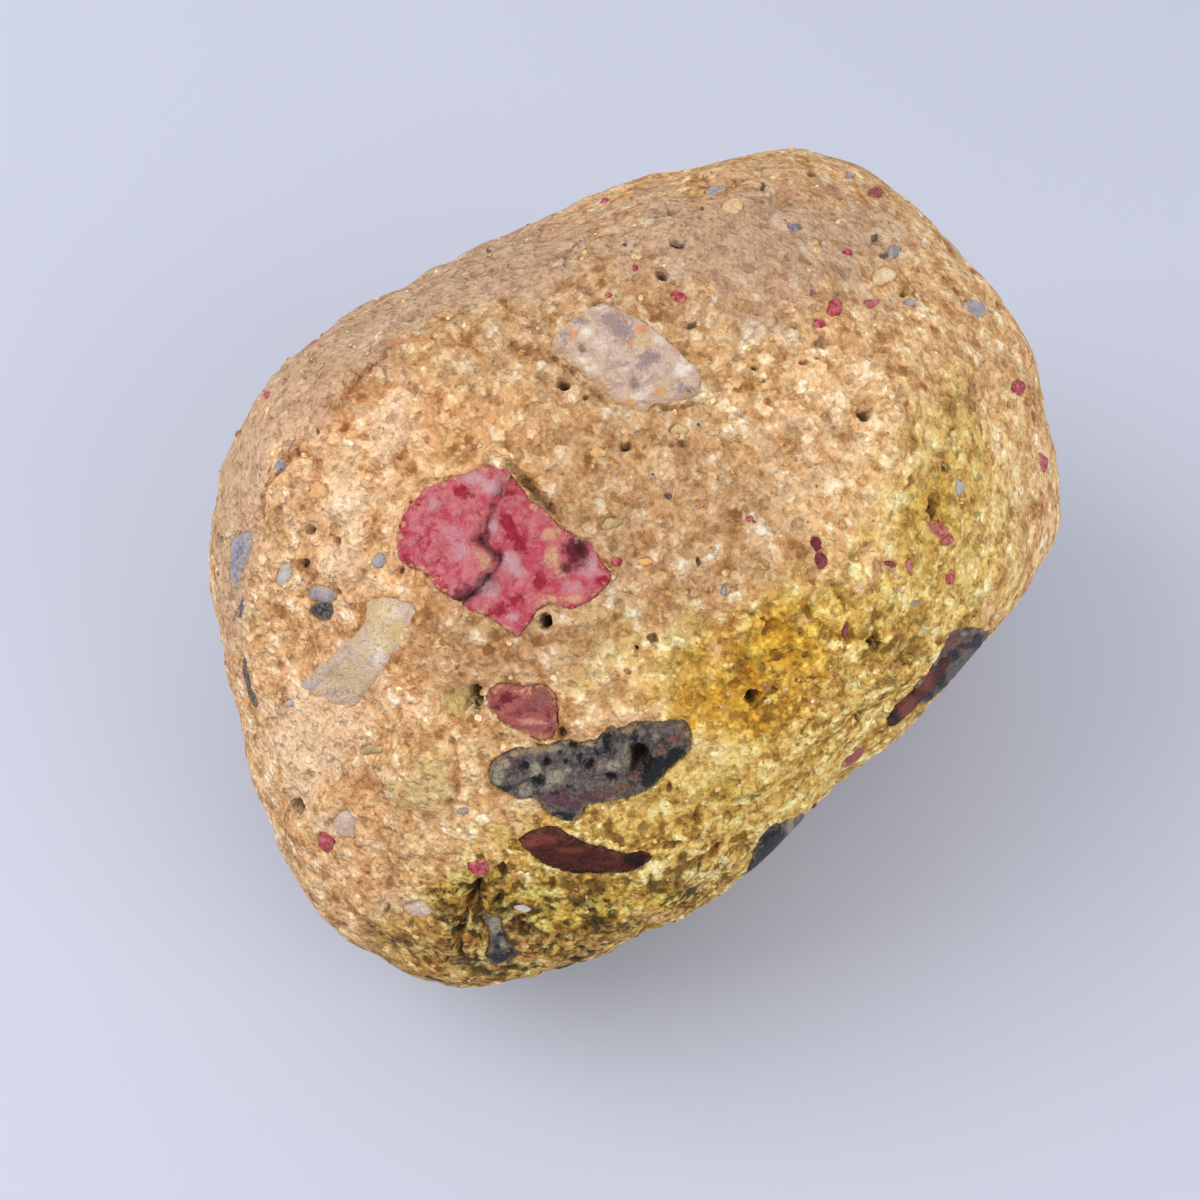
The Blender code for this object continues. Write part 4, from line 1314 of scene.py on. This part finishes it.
# What is painted on the mesh: gaps, with dirt and painted shade, roughness, and holes and
# creases, with painted shade, then stains with their spots given as column, row, width and
# height in pixels, and strength.
paint = {
    "hollow": hollow,
    "rugged": rugged,
    "pit": pit,
    "rust": np.maximum(rust, zone(0.3, 21.0, (
        (730, 625, 32, 26, 0.7), (350, 783, 50, 22, 0.6), (378, 782, 34, 14, 0.7),
        (799, 761, 12, 22, 0.6), (496, 273, 24, 14, 0.4), (804, 480, 30, 20, 0.3),
        (358, 640, 26, 20, 0.3), (330, 740, 40, 30, 0.4), (355, 748, 14, 18, 0.5),
        (440, 790, 60, 20, 0.2), (600, 880, 40, 14, 0.4), (760, 590, 60, 20, 0.35),
    ))),
    "lemon": zone(0.8, 22.0, (
        (820, 700, 370, 270, 1.0), (680, 840, 360, 180, 0.9), (950, 520, 180, 340, 0.8),
        (540, 890, 300, 130, 0.7), (620, 650, 160, 120, 0.35), (880, 640, 140, 110, 0.8),
    )),
    "ochre": zone(0.35, 23.0, (
        (765, 660, 150, 130, 0.5), (810, 632, 110, 60, 0.3), (720, 712, 110, 70, 0.35),
        (790, 680, 280, 170, 0.35), (850, 570, 130, 90, 0.3), (935, 500, 60, 90, 0.4),
        (690, 850, 60, 40, 0.3), (650, 690, 60, 40, 0.4),
    )),
    "olive": zone(0.45, 24.0, (
        (470, 950, 240, 150, 1.0), (520, 900, 180, 80, 0.5), (560, 940, 200, 60, 0.7),
        (955, 470, 90, 230, 0.3), (650, 905, 160, 60, 0.6), (930, 500, 60, 80, 0.3),
        (452, 704, 34, 30, 1.0), (700, 880, 100, 60, 0.5), (730, 790, 90, 80, 0.5),
        (470, 930, 160, 100, 0.6), (873, 655, 60, 16, 0.3), (905, 700, 40, 60, 0.2),
    )),
    "blush": zone(0.8, 25.0, (
        (350, 600, 260, 480, 0.7), (440, 420, 300, 120, 0.5), (350, 880, 160, 120, 0.4),
    )),
    # Grey-brown on the upper left flank, the left strip and the top edge; on the flank it is also
    # painted shade where the face turns away from the light.
    "ash_and_shade": zone(0.7, 26.0, (
        (290, 400, 120, 110, 1.0), (345, 345, 120, 90, 1.0), (420, 298, 140, 80, 1.0),
        (500, 268, 140, 80, 0.9), (240, 460, 60, 120, 0.8), (600, 240, 420, 110, 0.6),
        (800, 250, 300, 190, 0.7), (235, 540, 60, 300, 0.9), (800, 440, 120, 90, 0.4),
        (600, 560, 120, 160, 0.3), (560, 650, 100, 60, 0.3),
    )),
    "honey": zone(0.3, 27.0, (
        (436, 774, 44, 76, 0.9), (410, 784, 56, 26, 0.7), (612, 523, 40, 22, 0.5),
        (400, 800, 50, 16, 0.5), (452, 704, 36, 32, 1.0), (580, 650, 60, 30, 0.3),
    )),
    # Painted shade: the middle of the show side is darkened, so that its rims are lighter than its
    # middle.
    "centre_shade": zone(0.6, 28.0, (
        (560, 300, 460, 220, 1.0), (650, 520, 360, 300, 1.0), (430, 640, 220, 120, 0.5),
        (780, 240, 280, 180, 0.8), (330, 350, 200, 160, 0.6), (530, 640, 200, 100, 0.6),
    )),
    "cream": zone(0.5, 29.0, (
        (400, 424, 60, 70, 0.7), (388, 448, 24, 40, 0.5), (345, 500, 50, 50, 0.6),
        (410, 755, 26, 10, 0.6), (392, 772, 44, 12, 0.5), (335, 825, 50, 40, 0.5),
        (400, 900, 60, 26, 0.5), (480, 640, 60, 50, 0.3), (555, 395, 60, 30, 0.4),
        (340, 520, 200, 260, 0.45), (300, 740, 120, 140, 0.4), (870, 440, 200, 160, 0.35),
        (1010, 480, 60, 200, 0.4), (500, 350, 160, 60, 0.3), (340, 560, 40, 40, 0.5),
        (660, 415, 60, 26, 0.4), (700, 880, 80, 40, 0.3), (585, 295, 60, 14, 0.5),
        (300, 770, 40, 80, 0.3), (800, 620, 40, 20, 0.3), (320, 730, 120, 110, 0.5),
        (820, 700, 60, 50, 0.3),
    )),
}
for corner, way, height in zip(matrix_ball.verts, ways, level + relief):
    corner.co = (MIDDLE + Vector(way) * height) * MM
matrix_mesh = bpy.data.meshes.new("matrix")
matrix_ball.to_mesh(matrix_mesh)
matrix_ball.free()
paint_on(matrix_mesh, paint)
matrix_mesh.shade_smooth()


def colours_along(tree, value, stops):
    """The colour that a value picks from a run of stops, each a place and a colour."""
    picked = node(tree, "ShaderNodeValToRGB", {"Fac": value}, "Color")
    elements = picked.node.color_ramp.elements
    elements[0].position, elements[0].color = stops[0]
    elements[1].position, elements[1].color = stops[-1]
    for place, tint in stops[1:-1]:
        elements.new(place).color = tint
    return picked


def matrix_finish():
    """Grains from brown to cream in two sizes, stained by place in several earth colours, with dirt
    and painted shade in the gaps and hollows, and painted shade in the pits, creases and middle.
    """
    made, tree, shader = new_material("sandy matrix")
    coarse = use(tree, SAND, Span=1.25, Warp=1.3)
    fine = use(tree, SAND, Span=0.55, Warp=0.8)
    drift = node(tree, "ShaderNodeTexNoise", {
        "Vector": stone_place(tree), "Scale": 0.4, "Detail": 5.0, "Roughness": 0.68,
    })
    patchy = math_of(tree, "SUBTRACT", drift, 0.5)
    tone = plus(tree, math_of(tree, "MULTIPLY", coarse["Tone"], 0.6), fine["Tone"], 0.4)
    rugged = layer_of(tree, "rugged")
    contrast = ramp(tree, rugged, 0.0, 1.0, 0.92, 1.45)
    tone = math_of(tree, "MULTIPLY", math_of(tree, "SUBTRACT", tone, MIDDLE_TONE), contrast)
    tone = math_of(tree, "ADD", tone, MIDDLE_TONE)
    tone = plus(tree, tone, patchy, 1.1)
    nodules = use(tree, SAND, Span=2.4, Warp=0.9)
    tone = math_of(tree, "ADD", tone, ramp(tree, nodules["Tone"], 0.2, 0.8, -0.09, 0.13))
    body = colours_along(tree, tone, (
        (0.1, colour(142, 94, 52)), (0.3, colour(194, 144, 92)), (0.45, colour(216, 171, 119)),
        (0.62, colour(233, 195, 146)), (0.85, colour(252, 236, 204)),
    ))
    lemon = colours_along(tree, tone, (
        (0.08, colour(116, 82, 28)), (0.26, colour(174, 130, 56)), (0.42, colour(212, 171, 88)),
        (0.6, colour(232, 202, 122)), (0.85, colour(250, 238, 180)),
    ))
    spread = plus(tree, layer_of(tree, "lemon"), patchy, 2.0)
    body = blend(tree, ramp(tree, spread, 0.1, 0.95), body, lemon)
    # Of these tints, the first is painted shade over the middle of the show side, and the grey is
    # partly painted shade on the upper left flank.
    for layer, tint, how in (
        ("centre_shade", colour(228, 226, 230), "MULTIPLY"), ("ash_and_shade", colour(186, 155, 132), "MIX"),
        ("ochre", colour(250, 224, 132), "MULTIPLY"), ("olive", colour(226, 220, 168), "MULTIPLY"),
        ("blush", colour(255, 241, 238), "MULTIPLY"), ("honey", colour(206, 184, 124), "MIX"),
        ("cream", colour(240, 209, 172), "MIX"), ("rust", colour(176, 110, 58), "MIX"),
    ):
        spread = plus(tree, layer_of(tree, layer), patchy, 2.0)
        full = 0.6 if how == "MIX" else 1.0
        body = blend(tree, ramp(tree, spread, 0.1, 0.95, 0.0, full), body, tint, how)
    # Dirt and painted shade: the gaps between grains, the hollows and the olive zone are darkened,
    # golden-brown in the lemon zone and near black in the olive.
    gap = plus(tree, math_of(tree, "MULTIPLY", coarse["Gap"], 0.6), fine["Gap"], 0.4)
    gap = plus(tree, gap, layer_of(tree, "hollow"), 0.6)
    gap = math_of(tree, "MULTIPLY", gap, ramp(tree, rugged, 0.0, 1.0, 0.55, 1.4))
    gap = plus(tree, gap, nodules["Gap"], 0.22)
    gap = plus(tree, gap, layer_of(tree, "olive"), ramp(tree, nodules["Gap"], 0.0, 0.6, 0.0, 0.5))
    dirt_and_shade = blend(tree, layer_of(tree, "lemon"), DIRT_AND_SHADE_COLOUR, colour(132, 96, 34))
    dirt_and_shade = blend(tree, layer_of(tree, "olive"), dirt_and_shade, colour(44, 35, 14))
    body = blend(tree, math_of(tree, "MINIMUM", gap, 0.9), body, dirt_and_shade)
    # Painted shade in the pits and creases.
    body = blend(tree, layer_of(tree, "pit"), body, PIT_SHADE_COLOUR)
    tree.links.new(body, shader.inputs["Base Color"])
    shader.inputs["Roughness"].default_value = 0.8
    shader.inputs["Specular IOR Level"].default_value = 0.2
    height = plus(tree, math_of(tree, "MULTIPLY", coarse["Height"], 0.5), fine["Height"], 0.22)
    height = plus(tree, height, nodules["Height"], 0.5)
    add_relief(tree, shader, height, 0.4 * MM)
    return made


matrix_mesh.materials.append(matrix_finish())
matrix = linked("matrix", matrix_mesh)
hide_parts("puddingstone")
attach(matrix, "root")


# Loose grains: clear, milky and amber quartz sand up to about a millimetre, cemented in the
# matrix and left standing out of it by wear. Each is a little many-sided lump.

GRAINS = 1500
GRAIN_SIDES = 6
GRAIN_SEED = 5
# Half a grain's width in mm: the least, and how much the widest add to it.
LEAST_GRAIN = 0.12
MORE_GRAIN = 0.26
# A grain's rings of corners: shares of its width and of its height over the surface.
GRAIN_RINGS = ((1.0, -0.6), (0.95, 0.35), (0.5, 1.0))
# Grains keep this far in mm outside each pebble's edge.
CLEAR_OF_PEBBLE = 0.3
NEARBY = 0.85


def grain(foot, out, draw):
    """One grain's corners and faces, sunk in the surface at a foot."""
    first, second = across(out)
    wide = LEAST_GRAIN + MORE_GRAIN * draw.random() ** 2.5
    long = wide * draw.uniform(1.0, 1.6)
    tall = wide * draw.uniform(0.35, 0.7)
    turn = draw.uniform(0, math.pi)
    corners = []
    for share, height in GRAIN_RINGS:
        for side in range(GRAIN_SIDES):
            angle = 2 * math.pi * (side + draw.uniform(-0.25, 0.25)) / GRAIN_SIDES
            along = long * share * math.cos(angle)
            over = wide * share * math.sin(angle)
            corners.append(
                foot + out * tall * (height + draw.uniform(-0.12, 0.12))
                + first * (along * math.cos(turn) - over * math.sin(turn))
                + second * (along * math.sin(turn) + over * math.cos(turn))
            )
    faces = [tuple(range(2 * GRAIN_SIDES, 3 * GRAIN_SIDES))]
    for ring in range(len(GRAIN_RINGS) - 1):
        for side in range(GRAIN_SIDES):
            low = ring * GRAIN_SIDES + side
            beside = ring * GRAIN_SIDES + (side + 1) % GRAIN_SIDES
            faces.append((low, beside, beside + GRAIN_SIDES, low + GRAIN_SIDES))
    return corners, faces


surface = BVHTree.FromPolygons(
    [corner.co / MM - MIDDLE for corner in matrix_mesh.vertices],
    [tuple(face.vertices) for face in matrix_mesh.polygons],
)
draw = random.Random(GRAIN_SEED)
grain_corners = []
grain_faces = []
grain_kinds = []
while len(grain_kinds) < GRAINS:
    way = Vector((draw.gauss(0, 1), draw.gauss(0, 1), draw.gauss(0, 1))).normalized()
    on_pebble = any(
        inside_by(flattened(np.array([way]), hub)[0], outline)[0] > -CLEAR_OF_PEBBLE
        for hub, outline, *_ in beds if way.dot(hub) > NEARBY
    )
    if not on_pebble:
        start = len(grain_corners)
        foot, out, *_ = surface.ray_cast(way * FAR, -way)
        corners, faces = grain(foot, (way + out).normalized(), draw)
        grain_corners += [(MIDDLE + corner) * MM for corner in corners]
        grain_faces += [tuple(corner + start for corner in face) for face in faces]
        grain_kinds.append(draw.random())
grain_mesh = bpy.data.meshes.new("loose_grains")
grain_mesh.from_pydata(grain_corners, [], grain_faces)
paint_on(grain_mesh, {"own": np.repeat(grain_kinds, len(GRAIN_RINGS) * GRAIN_SIDES)})


def grain_finish():
    """Half-clear quartz, from brown through amber and cream to white, a colour to a grain."""
    made, tree, shader = new_material("quartz grains")
    body = colours_along(tree, layer_of(tree, "own"), (
        (0.0, colour(150, 100, 52)), (0.3, colour(196, 148, 84)), (0.5, colour(211, 170, 108)),
        (0.85, colour(225, 192, 134)), (1.0, colour(236, 220, 182)),
    ))
    cloud = node(tree, "ShaderNodeTexNoise", {"Vector": stone_place(tree), "Scale": 3.0, "Detail": 3.0})
    darker = blend(tree, 1.0, body, colour(200, 180, 150), "MULTIPLY")
    body = blend(tree, ramp(tree, cloud, 0.45, 0.65), body, darker)
    tree.links.new(body, shader.inputs["Base Color"])
    shader.inputs["Roughness"].default_value = 0.3
    add_relief(tree, shader, cloud, 0.08 * MM)
    return made


grain_mesh.materials.append(grain_finish())
grains = linked("loose_grains", grain_mesh)
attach(grains, "root")


# The room. A plain pale floor under even light from all round, and two softboxes over the
# stone, the left one stronger, which give its lumps and pits a soft light and shade.

FLOOR_SIDE = 3.0
SKY_STRENGTH = 0.83
SKY_COLOUR = (0.97, 0.98, 1.0, 1)
SOFTBOX_SIDE = 0.4
# Each softbox's name, its place in mm to the right, up and out of the show side, and power.
SOFTBOXES = (
    ("left_softbox", (-380.0, 200.0, 320.0), 1.9),
    ("right_softbox", (400.0, -100.0, 380.0), 1.4),
)
floor_mesh = bpy.data.meshes.new("floor")
half = FLOOR_SIDE / 2
floor_mesh.from_pydata(
    [(-half, -half, 0), (half, -half, 0), (half, half, 0), (-half, half, 0)], [], [(0, 1, 2, 3)]
)
floor_finish, _, floor_shader = new_material("pale floor")
floor_shader.inputs["Base Color"].default_value = colour(180, 184, 199)
floor_shader.inputs["Roughness"].default_value = 0.7
floor_mesh.materials.append(floor_finish)
floor = linked("floor", floor_mesh)

world = bpy.data.worlds.new("studio")
bpy.context.scene.world = world
world.use_nodes = True
sky = world.node_tree.nodes["Background"]
sky.inputs["Color"].default_value = SKY_COLOUR
sky.inputs["Strength"].default_value = SKY_STRENGTH

for name, place, energy in SOFTBOXES:
    lamp = bpy.data.lights.new(name, "AREA")
    lamp.size = SOFTBOX_SIDE
    lamp.energy = energy
    softbox = linked(name, lamp)
    spot = SHOW @ Vector(place)
    softbox.location = (MIDDLE + spot) * MM
    softbox.rotation_euler = spot.to_track_quat("Z", "Y").to_euler()

bpy.context.scene.view_settings.view_transform = "Standard"
